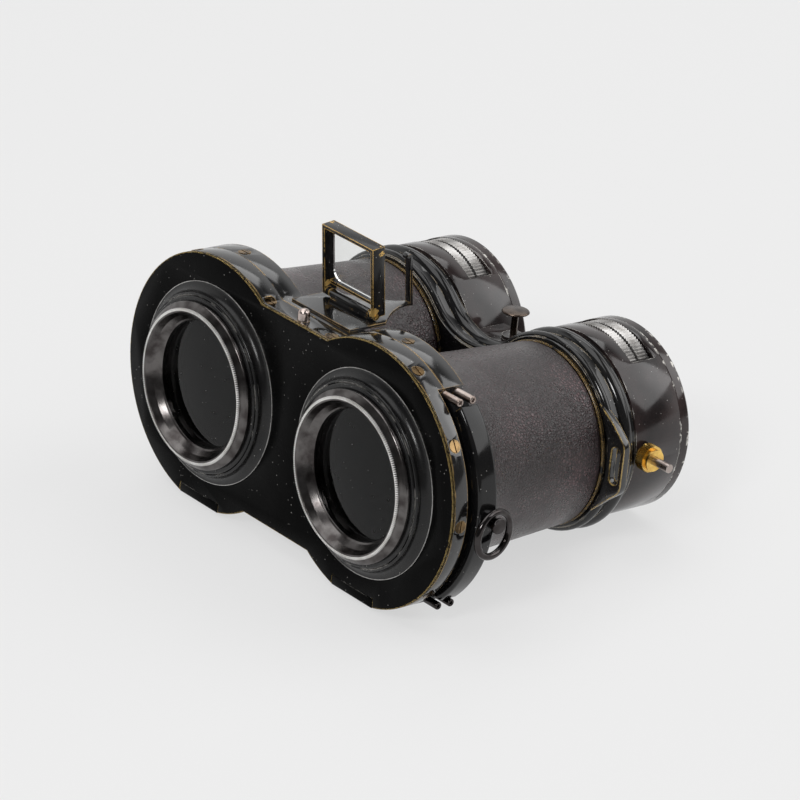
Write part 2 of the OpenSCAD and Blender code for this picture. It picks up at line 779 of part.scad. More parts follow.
// A sector between two angles, large enough to cut a drum's wall
module sector(a0, a1, r) {
    polygon([[0, 0], [r * cos(a0), r * sin(a0)], [r * cos((a0 + a1) / 2), r * sin((a0 + a1) / 2)],
        [r * cos(a1), r * sin(a1)]]);
}

light_r = 5;
drum_light_r = 8;
shutter_low = 9;
spindle_gap = 0.6;
shutter_high = wheel_offset - spindle_r - spindle_gap;
boss_r = 2.4;
boss_proud = 0.7;
boss_x = axis_x + drum_r + boss_proud;
drum_inner_r = drum_r - drum_wall;
window_edge = 0.5;
// Half the angle over which the milled wheels would touch the drum's wall
wheel_clear = 0.2;
wheel_room = drum_inner_r - wheel_clear;
wheel_rise = wheel_offset - drum_rise;
window_half = acos((pow(wheel_room, 2) + pow(wheel_rise, 2) - pow(wheel_r, 2))
    / (2 * wheel_room * wheel_rise));
// The shutter plate passes through the inner walls of both drums and through its housing
module shutter_slot() {
    translate([-axis_x, shutter_y - sliding, -shutter_low - sliding])
        cube([2 * axis_x, shutter_t + 2 * sliding, shutter_low + shutter_high + 2 * sliding]);
}

module turret_drum(side) {
    color(black_lacquer) difference() {
        union() {
            rod_y(bridge_y1, drum_y1, drum_r, side * axis_x, drum_rise);
            if (side > 0) rod_x(axis_x + drum_inner_r - drum_wall, boss_x, boss_r, stud_y, stud_z);
        }
        rod_y(bridge_y1 + drum_front_t, drum_y1 + over, drum_inner_r, side * axis_x, drum_rise);
        rod_y(bridge_y1 - over, bridge_y1 + drum_front_t + over, drum_light_r, side * axis_x, 0);
        // the window over the milled wheels
        along(stop_wheel_y0 - window_edge, lens_wheel_y1 + window_edge)
            translate([side * axis_x, drum_rise])
            difference() {
                sector(90 - window_half, 90 + window_half, 2 * drum_r);
                circle(drum_inner_r - window_edge);
            }
        shutter_slot();
        if (side > 0) rod_x(stud_x0, boss_x + over, stud_r + seat, stud_y, stud_z);
    }
}

cap_ring_w = 2;
eye_ring_w = 1.5;
eye_ring_drop = 0.4;
thread_len = 1.4;
thread_wall = 1.2;
module drum_cap(side) {
    color(black_lacquer) difference() {
        union() {
            turned(side * axis_x, drum_rise) {
                translate([0, drum_y1 + touch]) square([drum_r, cap_disc_t]);
                translate([drum_r - cap_ring_w, drum_y1 + touch]) square([cap_ring_w, cap_len - touch]);
                translate([drum_inner_r - thread_wall, drum_y1 - thread_len])
                    square([thread_wall - seat, thread_len + cap_disc_t / 2]);
            }
            turned(side * axis_x) translate([eye_r, drum_y1 + cap_disc_t])
                square([eye_ring_w, cap_len - cap_disc_t - eye_ring_drop]);
        }
        rod_y(drum_y1 - over, cap_y1 + over, eye_r, side * axis_x, 0);
        rod_y(drum_y1 - over, cap_y1 + over, spindle_r + seat, side * axis_x, wheel_offset);
    }
}

spindle_back = 1.2;
spindle_y0 = shutter_y + shutter_t + spindle_back;
spindle_proud = 0.5;
spindle_y1 = drum_y1 + cap_disc_t + spindle_proud;
spindle_slot_w = 0.6;
// A spacer stays inside the lens barrel that stands out of the lens wheel
barrel_clear = 0.15;
spacer_w = wheel_offset - cell_r - spindle_r - running - barrel_clear;
module spindle(side) {
    x = side * axis_x;
    color(steel) difference() {
        rod_y(spindle_y0, spindle_y1, spindle_r, x, wheel_offset);
        translate([x - 2 * spindle_r, spindle_y1 - spindle_proud, wheel_offset - spindle_slot_w / 2])
            cube([4 * spindle_r, spindle_proud + over, spindle_slot_w]);
    }
}

// Spacers on the spindles keep the wheels apart and clear of the cap
module wheel_spacers() {
    spans = [[spindle_y0, stop_wheel_y0 - seat], [stop_wheel_y1 + seat, lens_wheel_y0 - seat],
        [lens_wheel_y1 + seat, drum_y1 - seat]];
    color(brass)
    for (s = [-1, 1]) for (span = spans) turned(s * axis_x, wheel_offset)
        translate([spindle_r + running, span[0]]) square([spacer_w, span[1] - span[0]]);
}

milling = 0.35;
cell_angles = [-90, 30, 150];
module milled_wheel(side, y0, y1, radii) {
    color(steel) translate([side * axis_x, 0, wheel_offset]) difference() {
        union() {
            along(y0, y1) toothed(wheel_r, wheel_teeth, milling);
            rod_y(y0, y1, wheel_r - 1.3 * milling, 0, 0);
        }
        rod_y(y0 - over, y1 + over, spindle_r + running, 0, 0);
        for (i = [0:2]) rod_y(y0 - over, y1 + over, radii[i],
            wheel_offset * cos(cell_angles[i]), wheel_offset * sin(cell_angles[i]));
    }
}

module lens_wheel(side) {
    milled_wheel(side, lens_wheel_y0, lens_wheel_y1, [cell_r, cell_r, cell_r]);
}

stop_radii = [5.5, 3, 1.8];
module stop_wheel(side) {
    milled_wheel(side, stop_wheel_y0, stop_wheel_y1, stop_radii);
}

// A hollow lens for each of the two viewing powers
cell_gap = 0.03;
dish_r = 16;
glass_half = 0.5;
module eyepiece_lenses(side) {
    glass_r = cell_r - cell_gap;
    middle = (lens_wheel_y0 + lens_wheel_y1) / 2;
    color(clear_glass)
    for (i = [0:1]) turned(side * axis_x + wheel_offset * cos(cell_angles[i]),
            wheel_offset + wheel_offset * sin(cell_angles[i]))
        polygon(concat([[0, middle - glass_half]],
            [for (k = [1:6]) let (r = glass_r * k / 6)
                [r, middle - glass_half - (dish_r - sqrt(pow(dish_r, 2) - r * r)) * 0.6]],
            [for (k = [6:-1:1]) let (r = glass_r * k / 6)
                [r, middle + glass_half + (dish_r - sqrt(pow(dish_r, 2) - r * r)) * 0.6]],
            [[0, middle + glass_half]]));
}

// The taking lens fills the third seat; its barrel stands out towards the cap
taking_wall = 1.4;
taking_rise = 1.6;
taking_set = 0.2;
taking_glass_t = 1.8;
module camera_lens(side) {
    x = side * axis_x + wheel_offset * cos(cell_angles[2]);
    z = wheel_offset + wheel_offset * sin(cell_angles[2]);
    color(brass) turned(x, z) {
        translate([cell_r - taking_wall, lens_wheel_y0 + taking_set])
            square([taking_wall - cell_gap, lens_wheel_t - taking_set + taking_rise]);
        translate([0, lens_wheel_y0 + over]) square([cell_r - taking_wall, taking_glass_t]);
    }
}

// A leaf spring on the cap whose nose drops between the lens seats
nose_r = 0.7;
nose_inset = 2;
nose_gap = 0.1;
leaf_t = 0.4;
leaf_w = 2.2;
leaf_len = 9;
leaf_foot = 2.4;
leaf_rise = 1.3;
module detent_spring(side) {
    nose_z = wheel_offset - (wheel_r - nose_inset);
    leaf_y = drum_y1 - leaf_rise;
    color(steel) translate([side * axis_x, 0, nose_z]) {
        rod_y(lens_wheel_y1 + nose_gap, leaf_y + leaf_t / 2, nose_r, 0, 0);
        translate([-leaf_w / 2, leaf_y, -leaf_w / 2]) cube([leaf_len + leaf_w / 2, leaf_t, leaf_w]);
        translate([leaf_len - leaf_foot, leaf_y, -leaf_w / 2]) cube([leaf_foot, leaf_rise, leaf_w]);
    }
}

// Release: a stem with a collar in a sprung chamber, under a bush that is let into the housing
chamber_r = 2.2;
chamber_z0 = 4;
stem_r = 1;
stem_tail = 0.6;
stem_z0 = chamber_z0 - stem_tail;
stem_hole_z = stem_z0 - knob_travel - sliding;
bush_depth = 3.1;
bush_flange_w = 2.2;
bush_flange_t = 1.1;
collar_t = 1;
collar_r = 1.9;
collar_z1 = housing_z - bush_depth;
coil_r = 1.15;
coil_wire = 0.6;
module shutter_housing() {
    color(black_lacquer) difference() {
        translate([-axis_x / 2, bridge_y1, -housing_z])
            cube([axis_x, housing_y1 - bridge_y1, 2 * housing_z]);
        for (s = [-1, 1]) rod_y(bridge_y1 - over, housing_y1 + over, drum_r + seat, s * axis_x, drum_rise);
        shutter_slot();
        translate([0, knob_y, chamber_z0]) cylinder(h = housing_z, r = chamber_r, $fn = 48);
        translate([0, knob_y, stem_hole_z])
            cylinder(h = chamber_z0 - stem_hole_z + over, r = stem_r + running, $fn = 48);
    }
}

// The plate's openings stand beside the light holes until the release lets it run
plate_left = 7;
plate_right = 15;
module shutter_plate() {
    left = -axis_x - plate_left;
    right = axis_x + plate_right;
    color(steel) difference() {
        translate([left, shutter_y, -shutter_low])
            cube([right - left, shutter_t, shutter_low + shutter_high]);
        for (s = [-1, 1])
            translate([s * axis_x + (shutter_travel - shutter_gap) / 2, shutter_y - over, -light_r - over])
                cube([shutter_gap, shutter_t + 2 * over, 2 * light_r + over]);
    }
}

knob_z0 = housing_z + bush_flange_t + knob_rise;
knob_hub = 1.6;
knob_edge = 0.3;
module release_knob() {
    color(steel) translate([0, knob_y, 0]) {
        translate([0, 0, stem_z0]) cylinder(h = knob_z0 - stem_z0 + knob_t / 4, r = stem_r, $fn = 48);
        translate([0, 0, collar_z1 - collar_t]) cylinder(h = collar_t, r = collar_r, $fn = 48);
        rotate_extrude() polygon([[0, knob_z0], [knob_hub, knob_z0],
            [knob_r - knob_edge, knob_z0 + knob_t * 0.35], [knob_r, knob_z0 + knob_t * 0.6],
            [knob_r - knob_edge, knob_z0 + knob_t], [0, knob_z0 + knob_t]]);
    }
}

module release_bush() {
    color(brass) translate([0, knob_y, 0]) rotate_extrude() {
        translate([stem_r + running, collar_z1 + seat])
            square([chamber_r - stem_r - 2 * running, housing_z - collar_z1]);
        translate([stem_r + running, housing_z + touch]) square([bush_flange_w, bush_flange_t - touch]);
    }
}

module release_spring() {
    color(steel) translate([0, knob_y, 0]) rotate_extrude() translate([coil_r, chamber_z0 + touch])
        square([coil_wire, collar_z1 - collar_t - chamber_z0 - seat]);
}

// The threaded stud is fixed in the drum's boss, and its slotted inner end holds the shutter's
// spring; the nut turns on it
stud_inside = 8.3;
stud_outside = 5.9;
stud_slot = 1.4;
stud_slot_w = 0.8;
nut_gap = 0.2;
nut_x = boss_x + nut_gap;
stud_x0 = axis_x + drum_inner_r - stud_inside;
stud_x1 = nut_x + nut_len + stud_outside;
module tension_stud() {
    color(steel) difference() {
        rod_x(stud_x0, stud_x1, stud_r, stud_y, stud_z);
        translate([stud_x0 - over, stud_y - stud_slot_w / 2, stud_z - 2 * stud_r])
            cube([stud_slot + over, stud_slot_w, 4 * stud_r]);
    }
}

nut_teeth = 40;
nut_tooth = 0.3;
module tension_nut() {
    knurl_len = nut_len * 0.7;
    color(brass) translate([nut_x, stud_y, stud_z]) rotate([0, 90, 0]) difference() {
        union() {
            linear_extrude(knurl_len) toothed(nut_r, nut_teeth, nut_tooth);
            cylinder(h = knurl_len, r = nut_r - 1.3 * nut_tooth, $fn = 64);
            cylinder(h = nut_len, r = nut_r * 0.8, $fn = 64);
        }
        translate([0, 0, -over]) cylinder(h = nut_len + 2 * over, r = stud_r + running, $fn = 48);
    }
}

// The base plate lies on the body. Behind the hinge it tapers and slopes down to the rear sight,
// which is its own end bent up and rolled at the tip.
base_margin = 1.6;
base_bend = 1;
knuckle_gap = 1.9;
web_t = 1.2;
module finder_base() {
    wide = finder_w / 2 + base_margin;
    narrow = sight_w / 2;
    z0 = waist_half + touch / 2;
    bend_y = finder_y + knuckle_r + base_bend;
    end_y = base_y0 + finder_base_len;
    end_z = z0 - (end_y - bend_y) * tan(tongue_slope);
    lean = (sight_h - sight_roll_r) * tan(tilt);
    tip_z = end_z + sight_h - sight_roll_r;
    barrel_half = finder_w / 2 - finder_sheet - knuckle_gap;
    color(black_lacquer) difference() {
        union() {
            intersection() {
                across(-wide, wide) polygon([[base_y0, z0], [bend_y, z0], [end_y, end_z],
                    [end_y - lean, tip_z], [end_y - lean - sight_t, tip_z],
                    [end_y - sight_t - base_t * tan(tilt), end_z + base_t],
                    [bend_y, z0 + base_t], [base_y0, z0 + base_t]]);
                translate([0, 0, end_z - over]) linear_extrude(sight_h + 2 * over) polygon(concat(
                    [[-wide, base_y0 - over], [wide, base_y0 - over]],
                    [for (i = [0:8]) plan_point(i / 8, bend_y, end_y - 2 * sight_roll_r, wide, narrow)],
                    [[narrow, end_y + over], [-narrow, end_y + over]],
                    [for (i = [8:-1:0]) let (p = plan_point(i / 8, bend_y, end_y - 2 * sight_roll_r,
                        wide, narrow)) [-p[0], p[1]]]));
            }
            rod_x(-narrow, narrow, sight_roll_r, end_y - lean - sight_roll_r, tip_z);
            rod_x(-barrel_half, barrel_half, knuckle_r, finder_y, finder_z);
            translate([-barrel_half, finder_y - web_t / 2, z0 + base_t / 2])
                cube([2 * barrel_half, web_t, finder_z - z0 - base_t / 2]);
        }
        rod_x(-finder_w, finder_w, finder_pin_r + touch, finder_y, finder_z);
    }
}

// A point on the tapering edge of the base plate, from t = 0 at the bend to t = 1 at the sight
function plan_point(t, y0, y1, wide, narrow) =
    [narrow + (wide - narrow) * pow(1 - t, 1.5), y0 + (y1 - y0) * t];

pin_proud = 0.2;
module finder_pin() {
    reach = finder_w / 2 + pin_proud;
    color(brass) rod_x(-reach, reach, finder_pin_r, finder_y, finder_z);
}

// Drawn upright about its hinge, then leant forward by the tilt so that it stands plumb
module at_finder_hinge() {
    translate([0, finder_y, finder_z]) rotate([tilt, 0, 0]) children();
}

frame_skirt = 0.4;
knuckle_len = 2.6;
sill_z = 2.2;
sill_t = 0.9;
sill_y = 0.6;
module finder_frame() {
    half = finder_w / 2;
    inset = finder_sheet / 2;
    color(black_lacquer) at_finder_hinge() difference() {
        union() {
            difference() {
                translate([-half, -knuckle_r, -frame_skirt]) cube([finder_w, finder_d, finder_h + frame_skirt]);
                translate([-half + finder_sheet, -finder_d, -frame_skirt - over])
                    cube([finder_w - 2 * finder_sheet, 3 * finder_d,
                        finder_h + frame_skirt + over - finder_sheet]);
            }
            translate([-half + inset, sill_y, sill_z])
                cube([finder_w - 2 * inset, finder_d - knuckle_r - sill_y, sill_t]);
            for (s = [-1, 1]) rod_x(s * (half - knuckle_len / 2) - knuckle_len / 2,
                s * (half - knuckle_len / 2) + knuckle_len / 2, knuckle_r, 0, 0);
        }
        rod_x(-finder_w, finder_w, finder_pin_r + running, 0, 0);
    }
}

// The finder's lens is a plate with round corners on the frame's sill
finder_lens_t = 1.1;
finder_lens_r = 3;
module finder_lens() {
    w = finder_w - 2 * finder_sheet - 2 * seat;
    z0 = sill_z + sill_t + seat;
    z1 = finder_h - finder_sheet - seat;
    r = finder_lens_r;
    lens_back = finder_d - knuckle_r;
    color(clear_glass) at_finder_hinge() translate([0, lens_back, 0]) rotate([90, 0, 0])
        linear_extrude(finder_lens_t) intersection() {
            translate([-w / 2, z0]) square([w, z1 - z0]);
            union() {
                translate([-w / 2 + r, z0 - r]) square([w - 2 * r, z1 - z0 + 2 * r]);
                translate([-w / 2 - r, z0 + r]) square([w + 2 * r, z1 - z0 - 2 * r]);
                for (x = [-1, 1]) for (z = [z0 + r, z1 - r]) translate([x * (w / 2 - r), z])
                    circle(r, $fn = 48);
            }
        }
}

// The button's collar lies under the lip and is pushed up by its spring
button_collar_w = 0.25;
button_collar_t = 1;
button_dome = 1.1;
collar_top = waist_half - lid_wall - lip_t - 2 * lid_gap;
module catch_button() {
    top = waist_half + button_h;
    collar_r = button_r + button_collar_w;
    color(steel) translate([0, lid_screw_y, 0]) rotate_extrude() polygon(concat(
        [[0, collar_top - button_collar_t], [collar_r, collar_top - button_collar_t],
            [collar_r, collar_top], [button_r, collar_top]],
        [for (q = arc(0, 0, 1, 0, 90, 6)) [button_r * q[0], top - button_dome + button_dome * q[1]]]));
}

module catch_spring() {
    z0 = shelf_z + touch;
    color(steel) translate([0, lid_screw_y, 0]) rotate_extrude() translate([coil_r, z0])
        square([coil_wire, collar_top - button_collar_t - seat - z0]);
}

stand() front_plate();
stand() lid_band();
stand() foot_blocks();
stand() lid_screws();
stand() objective_mount(-1);  // objective_mount_left
stand() objective_mount(1);  // objective_mount_right
stand() objective_bezel(-1);  // objective_bezel_left
stand() objective_bezel(1);  // objective_bezel_right
stand() objective_lens(-1);  // objective_lens_left
stand() objective_lens(1);  // objective_lens_right
stand() objective_retainer(-1);  // objective_retainer_left
stand() objective_retainer(1);  // objective_retainer_right
stand() front_partition();
stand() body_frame();
stand() back_wall();
stand() frame_screws();
stand() guide_rods();
stand() plate_drawer();
stand() drawer_front();
stand() plate_sheaths();
stand() glass_plates();
stand() ring_post();
stand() pull_ring();
stand() barrel_tube(-1);  // barrel_tube_left
stand() barrel_tube(1);  // barrel_tube_right
stand() barrel_leather(-1);  // barrel_leather_left
stand() barrel_leather(1);  // barrel_leather_right
stand() rear_bridge();
stand() turret_drum(-1);  // turret_drum_left
stand() turret_drum(1);  // turret_drum_right
stand() drum_cap(-1);  // drum_cap_left
stand() drum_cap(1);  // drum_cap_right
stand() spindle(-1);  // spindle_left
stand() spindle(1);  // spindle_right
stand() wheel_spacers();
stand() lens_wheel(-1);  // lens_wheel_left
stand() lens_wheel(1);  // lens_wheel_right
stand() stop_wheel(-1);  // stop_wheel_left
stand() stop_wheel(1);  // stop_wheel_right
stand() eyepiece_lenses(-1);  // eyepiece_lenses_left
stand() eyepiece_lenses(1);  // eyepiece_lenses_right
stand() camera_lens(-1);  // camera_lens_left
stand() camera_lens(1);  // camera_lens_right
stand() detent_spring(-1);  // detent_spring_left
stand() detent_spring(1);  // detent_spring_right
stand() shutter_housing();
stand() shutter_plate();
stand() release_knob();
stand() release_bush();
stand() release_spring();
stand() tension_stud();
stand() tension_nut();
stand() finder_base();
stand() finder_pin();
stand() finder_frame();
stand() finder_lens();
stand() catch_button();
stand() catch_spring();
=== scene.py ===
"""Dresses the binocular camera: turned brasswork, leather, milling, worn lacquer, light and camera.

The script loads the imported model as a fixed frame. Shapes that the frame holds well keep their
solids and get a finish; edges that catch the light, turned pieces, leather and milling are made
here, in the camera's own space, where +Y runs along the lens axes in millimetres.
"""

import json
import logging
import math
from dataclasses import dataclass
from enum import Enum
from typing import Callable, Iterable, Sequence

import bmesh
import bpy
from mathutils import Matrix, Vector, noise


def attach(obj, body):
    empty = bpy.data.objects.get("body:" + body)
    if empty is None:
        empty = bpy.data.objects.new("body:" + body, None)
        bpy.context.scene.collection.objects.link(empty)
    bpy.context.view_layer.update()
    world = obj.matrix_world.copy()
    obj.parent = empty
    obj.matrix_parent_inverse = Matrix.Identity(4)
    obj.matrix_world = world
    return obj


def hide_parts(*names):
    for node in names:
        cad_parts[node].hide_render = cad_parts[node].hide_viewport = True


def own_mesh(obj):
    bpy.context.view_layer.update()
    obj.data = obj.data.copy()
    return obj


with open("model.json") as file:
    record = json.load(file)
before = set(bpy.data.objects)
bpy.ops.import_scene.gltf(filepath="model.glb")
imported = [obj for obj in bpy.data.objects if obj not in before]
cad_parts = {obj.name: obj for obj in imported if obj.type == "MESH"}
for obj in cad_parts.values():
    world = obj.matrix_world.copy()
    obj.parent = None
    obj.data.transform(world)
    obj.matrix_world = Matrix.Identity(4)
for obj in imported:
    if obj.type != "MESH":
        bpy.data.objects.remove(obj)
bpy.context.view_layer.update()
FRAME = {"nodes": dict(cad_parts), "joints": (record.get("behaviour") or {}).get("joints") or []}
LOG = logging.getLogger("binocular_camera")
MM = 0.001
# Vertices this near to each other are joined: in millimetres here, in metres in the frame's meshes
JOIN_MM = 1e-4
JOIN_CAD = 2e-6
# Angles in degrees: faces that count as one flat, edges that get rounded, edges that stay sharp after it
FLAT_WITHIN = 0.6
SOFTEN_OVER = 38.0
SHARP_OVER = 40.0
# The most of an outline's side that one rounding takes
MOST_ROUNDED = 0.49
BODY = "camera_body"
DRAWER = "plate_drawer"

Point = tuple[float, float]
Colour = tuple[float, float, float]
# Features per metre, octaves, and the noise at which the patches start and at which they are full
Pattern = tuple[float, float, float, float]
Piece = bpy.types.Object
Material = bpy.types.Material
Socket = bpy.types.NodeSocket
Mesh = bmesh.types.BMesh
Ring = list[bmesh.types.BMVert]


class Side(Enum):
    """The two halves of the camera, by the sign of their x."""

    LEFT = -1
    RIGHT = 1

    @property
    def word(self) -> str:
        """The side's name as the nodes write it."""
        return self.name.lower()


@dataclass(frozen=True)
class Sizes:
    """Main sizes of the camera in millimetres, as its solids have them."""

    axis_x: float = 35.0
    wheel_y: float = 82.3
    wheel_offset: float = 8.4
    frame_y1: float = 14.0
    bridge_y0: float = 64.0
    bridge_y1: float = 74.3
    drum_y1: float = 91.0
    cap_y1: float = 94.65
    drum_r: float = 27.3
    drum_rise: float = 0.8
    bridge_r: float = 27.2
    bridge_waist: float = 13.0
    barrel_end_r: float = 26.0
    barrel_front_r: float = 28.7
    flare_r: float = 4.4
    flare_len: float = 20.0
    leather_t: float = 0.8
    leather_end: float = 1.2
    flange_r: float = 29.2
    mount_r: float = 26.4
    mount_h: float = 3.7
    bezel_r: float = 24.3
    bezel_rim_r: float = 21.9
    bezel_h: float = 6.7
    aperture_r: float = 18.4
    lens_bulge: float = 1.3
    lens_edge: float = 3.2


SIZE = Sizes()


class CameraSpace:
    """The camera's own space: +Y along the lens axes, y = 0 at the face, z = 0 on the axes."""

    def __init__(self, joints: Sequence[dict]) -> None:
        """Finds the space from the joint of the right lens wheel.

        Args:
            joints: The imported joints.
        """
        wheel = next(j for j in joints if j["name"] == "lens_wheel_turn_right")
        axis = Vector(wheel["axis"])
        self.tilt = math.atan2(-axis.z, axis.y)
        turn = Matrix.Rotation(-self.tilt, 4, "X")
        spot = Vector((SIZE.axis_x, SIZE.wheel_y, SIZE.wheel_offset)) * MM
        self.origin = Vector(wheel["pos_m"]) - turn @ spot
        self.matrix = Matrix.Translation(self.origin) @ turn @ Matrix.Scale(MM, 4)

    def place(self, x: float, y: float, z: float) -> Vector:
        """Takes a point of this space, in millimetres, to the row frame, in metres."""
        return self.matrix @ Vector((x, y, z))

    def axis(self, x: float, y: float, z: float) -> Vector:
        """Takes a unit direction of this space to the row frame."""
        return (self.place(x, y, z) - self.place(0, 0, 0)) / MM


SPACE = CameraSpace(FRAME["joints"])


# Profiles and outlines


def arc(cx: float, cy: float, r: float, a0: float, a1: float, steps: int) -> list[Point]:
    """Points of an arc about (cx, cy), from the angle a0 to a1 in degrees: one more than its steps."""
    angles = [math.radians(a0 + (a1 - a0) * i / steps) for i in range(steps + 1)]
    return [(cx + r * math.cos(a), cy + r * math.sin(a)) for a in angles]


def circle(cx: float, cy: float, r: float, steps: int) -> list[Point]:
    """Points of a whole circle, each once."""
    return arc(cx, cy, r, 0, 360, steps)[:-1]


def rounded(corners: Sequence[tuple[float, float, float]], steps: int = 4) -> list[Point]:
    """Rounds the corners of a closed outline.

    Args:
        corners: Each corner as two coordinates and the radius of its rounding.
        steps: Steps in each rounding.

    Returns:
        The points of the rounded outline.
    """
    points: list[Point] = []
    count = len(corners)
    for i, (x, y, r) in enumerate(corners):
        here = Vector((x, y))
        before = Vector(corners[i - 1][:2]) - here
        after = Vector(corners[(i + 1) % count][:2]) - here
        if r <= 0:
            points.append((x, y))
            continue
        half = before.angle(after) / 2
        reach = min(r / math.tan(half), before.length * MOST_ROUNDED, after.length * MOST_ROUNDED)
        start = here + before.normalized() * reach
        end = here + after.normalized() * reach
        for k in range(steps + 1):
            t = k / steps
            p = start * (1 - t) ** 2 + here * 2 * t * (1 - t) + end * t * t
            points.append((p.x, p.y))
    return points


def barrel_radius(y: float) -> float:
    """Radius of the leather at a distance behind the face.

    Args:
        y: The distance in millimetres.

    Returns:
        The radius in millimetres.
    """
    flare = max(0.0, 1 - (y - SIZE.frame_y1) / SIZE.flare_len)
    length = SIZE.bridge_y0 - SIZE.frame_y1
    taper = (SIZE.barrel_front_r - SIZE.barrel_end_r) * (SIZE.bridge_y0 - y) / length
    return SIZE.barrel_end_r + taper + SIZE.flare_r * flare * flare


# Meshes


def add(name: str, data: bpy.types.ID) -> Piece:
    """Adds an object to the scene.

    Args:
        name: Name of the object.
        data: The mesh, lamp or camera that it holds.

    Returns:
        The object.
    """
    made = bpy.data.objects.new(name, data)
    bpy.context.scene.collection.objects.link(made)
    return made


def to_piece(bm: Mesh, name: str) -> Piece:
    """Adds a mesh to the scene.

    Args:
        bm: The mesh; it is freed.
        name: Name of the object and its mesh.

    Returns:
        The object.
    """
    mesh = bpy.data.meshes.new(name)
    bm.to_mesh(mesh)
    bm.free()
    return add(name, mesh)


def applied(piece: Piece, modifier: bpy.types.Modifier) -> bpy.types.Mesh:
    """Gives a piece the mesh that its modifier makes.

    Args:
        piece: The piece.
        modifier: Its modifier, which is taken off.

    Returns:
        The new mesh.
    """
    mesh = bpy.data.meshes.new_from_object(piece.evaluated_get(bpy.context.evaluated_depsgraph_get()))
    piece.modifiers.remove(modifier)
    mesh.name = piece.name
    piece.data = mesh
    return mesh


def finish_mesh(bm: Mesh, name: str, sharp: float = 32.0) -> Piece:
    """Makes an object of a mesh drawn in the camera's space.

    Args:
        bm: The mesh, in millimetres; it is freed.
        name: Name of the object.
        sharp: Edges over this angle in degrees stay sharp.

    Returns:
        The object, at the origin, with its place in its mesh.
    """
    bmesh.ops.remove_doubles(bm, verts=bm.verts, dist=JOIN_MM)
    bmesh.ops.recalc_face_normals(bm, faces=bm.faces)
    bmesh.ops.transform(bm, matrix=SPACE.matrix, verts=bm.verts)
    piece = to_piece(bm, name)
    piece.data.shade_smooth()
    piece.data.set_sharp_from_angle(angle=math.radians(sharp))
    return piece


def skin(bm: Mesh, rings: Sequence[Ring]) -> None:
    """Joins each ring of vertices with the next by a band of faces.

    Args:
        bm: The mesh.
        rings: Rings of equally many vertices; one that lies on an axis holds one vertex many times.
    """
    for one, two in zip(rings, rings[1:]):
        for k in range(len(one)):
            corners = list(dict.fromkeys((one[k - 1], one[k], two[k], two[k - 1])))
            if len(corners) > 2:
                bm.faces.new(corners)


def fill(bm: Mesh, loops: Sequence[Ring]) -> None:
    """Fills the flat face between a loop of vertices and the loops inside it.

    Args:
        bm: The mesh.
        loops: The outer loop, then the holes.
    """
    edges = []
    for loop in loops:
        for ends in zip([loop[-1]] + loop, loop):
            edges.append(bm.edges.get(ends) or bm.edges.new(ends))
    bmesh.ops.triangle_fill(bm, use_beauty=True, use_dissolve=False, edges=edges)


def turned(
    name: str,
    profile: Sequence[Point],
    x: float,
    z: float = 0.0,
    segments: int = 144,
    closed: bool = True,
    shift: Callable[[Vector], float] | None = None,
) -> Piece:
    """Turns a profile about an axis parallel to the lens axes.

    Args:
        name: Name of the object.
        profile: Points of (radius, distance along Y).
        x: Place of the axis.
        z: Place of the axis.
        segments: Steps round the axis.
        closed: Whether the profile is a loop; an open one has both ends on the axis.
        shift: Gives how far a point moves out from the axis.

    Returns:
        The turned piece.
    """
    bm = bmesh.new()
    rings = []
    for r, y in profile:
        if r < JOIN_MM:
            rings.append([bm.verts.new((x, y, z))] * segments)
            continue
        ring = []
        for k in range(segments):
            a = 2 * math.pi * k / segments
            point = Vector((x + r * math.cos(a), y, z + r * math.sin(a)))
            grown = r + (shift(point) if shift else 0.0)
            ring.append(bm.verts.new((x + grown * math.cos(a), y, z + grown * math.sin(a))))
        rings.append(ring)
    skin(bm, rings + rings[:1] if closed else rings)
    return finish_mesh(bm, name)


def plate(
    name: str,
    outline: Sequence[Point],
    y0: float,
    y1: float,
    holes: Iterable[Sequence[Point]] = (),
    edge: float = 0.2,
) -> Piece:
    """Makes a flat plate square to the lens axes, with softened edges.

    Args:
        name: Name of the object.
        outline: Points of (x, z).
        y0: Front of the plate.
        y1: Back of the plate.
        holes: Outlines of its holes.
        edge: Width of the softened edge.

    Returns:
        The plate.
    """
    bm = bmesh.new()
    ends = []
    for y in (y0, y1):
        ends.append([[bm.verts.new((x, y, z)) for x, z in loop] for loop in (outline, *holes)])
        fill(bm, ends[-1])
    for pair in zip(*ends):
        skin(bm, pair)
    return with_soft_edges(finish_mesh(bm, name), edge)


def with_soft_edges(piece: Piece, width: float, segments: int = 2) -> Piece:
    """Rounds the sharp edges of a piece and applies the rounding to its mesh.

    Args:
        piece: The piece.
        width: Width of the rounding in millimetres.
        segments: Steps across the rounding.

    Returns:
        The same piece.
    """
    bevel = piece.modifiers.new("soft edges", "BEVEL")
    bevel.width = width * MM
    bevel.segments = segments
    bevel.limit_method = "ANGLE"
    bevel.angle_limit = math.radians(SOFTEN_OVER)
    bevel.use_clamp_overlap = True
    mesh = applied(piece, bevel)
    mesh.shade_smooth()
    mesh.set_sharp_from_angle(angle=math.radians(SHARP_OVER))
    return piece


def softened(node: str, width: float, segments: int = 2) -> Piece:
    """Copies a node's mesh, joins its loose triangles and rounds its sharp edges.

    Args:
        node: Name of the CAD node.
        width: Width of the rounding in millimetres.
        segments: Steps across the rounding.

    Returns:
        The softened copy, which stands for the node.
    """
    bm = bmesh.new()
    bm.from_mesh(FRAME["nodes"][node].data)
    bmesh.ops.remove_doubles(bm, verts=bm.verts, dist=JOIN_CAD)
    flat = math.radians(FLAT_WITHIN)
    bmesh.ops.dissolve_limit(bm, angle_limit=flat, verts=bm.verts, edges=bm.edges)
    piece = with_soft_edges(to_piece(bm, f"{node}_soft"), width, segments)
    piece.data.materials.clear()
    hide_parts(node)
    return piece


# Finishes


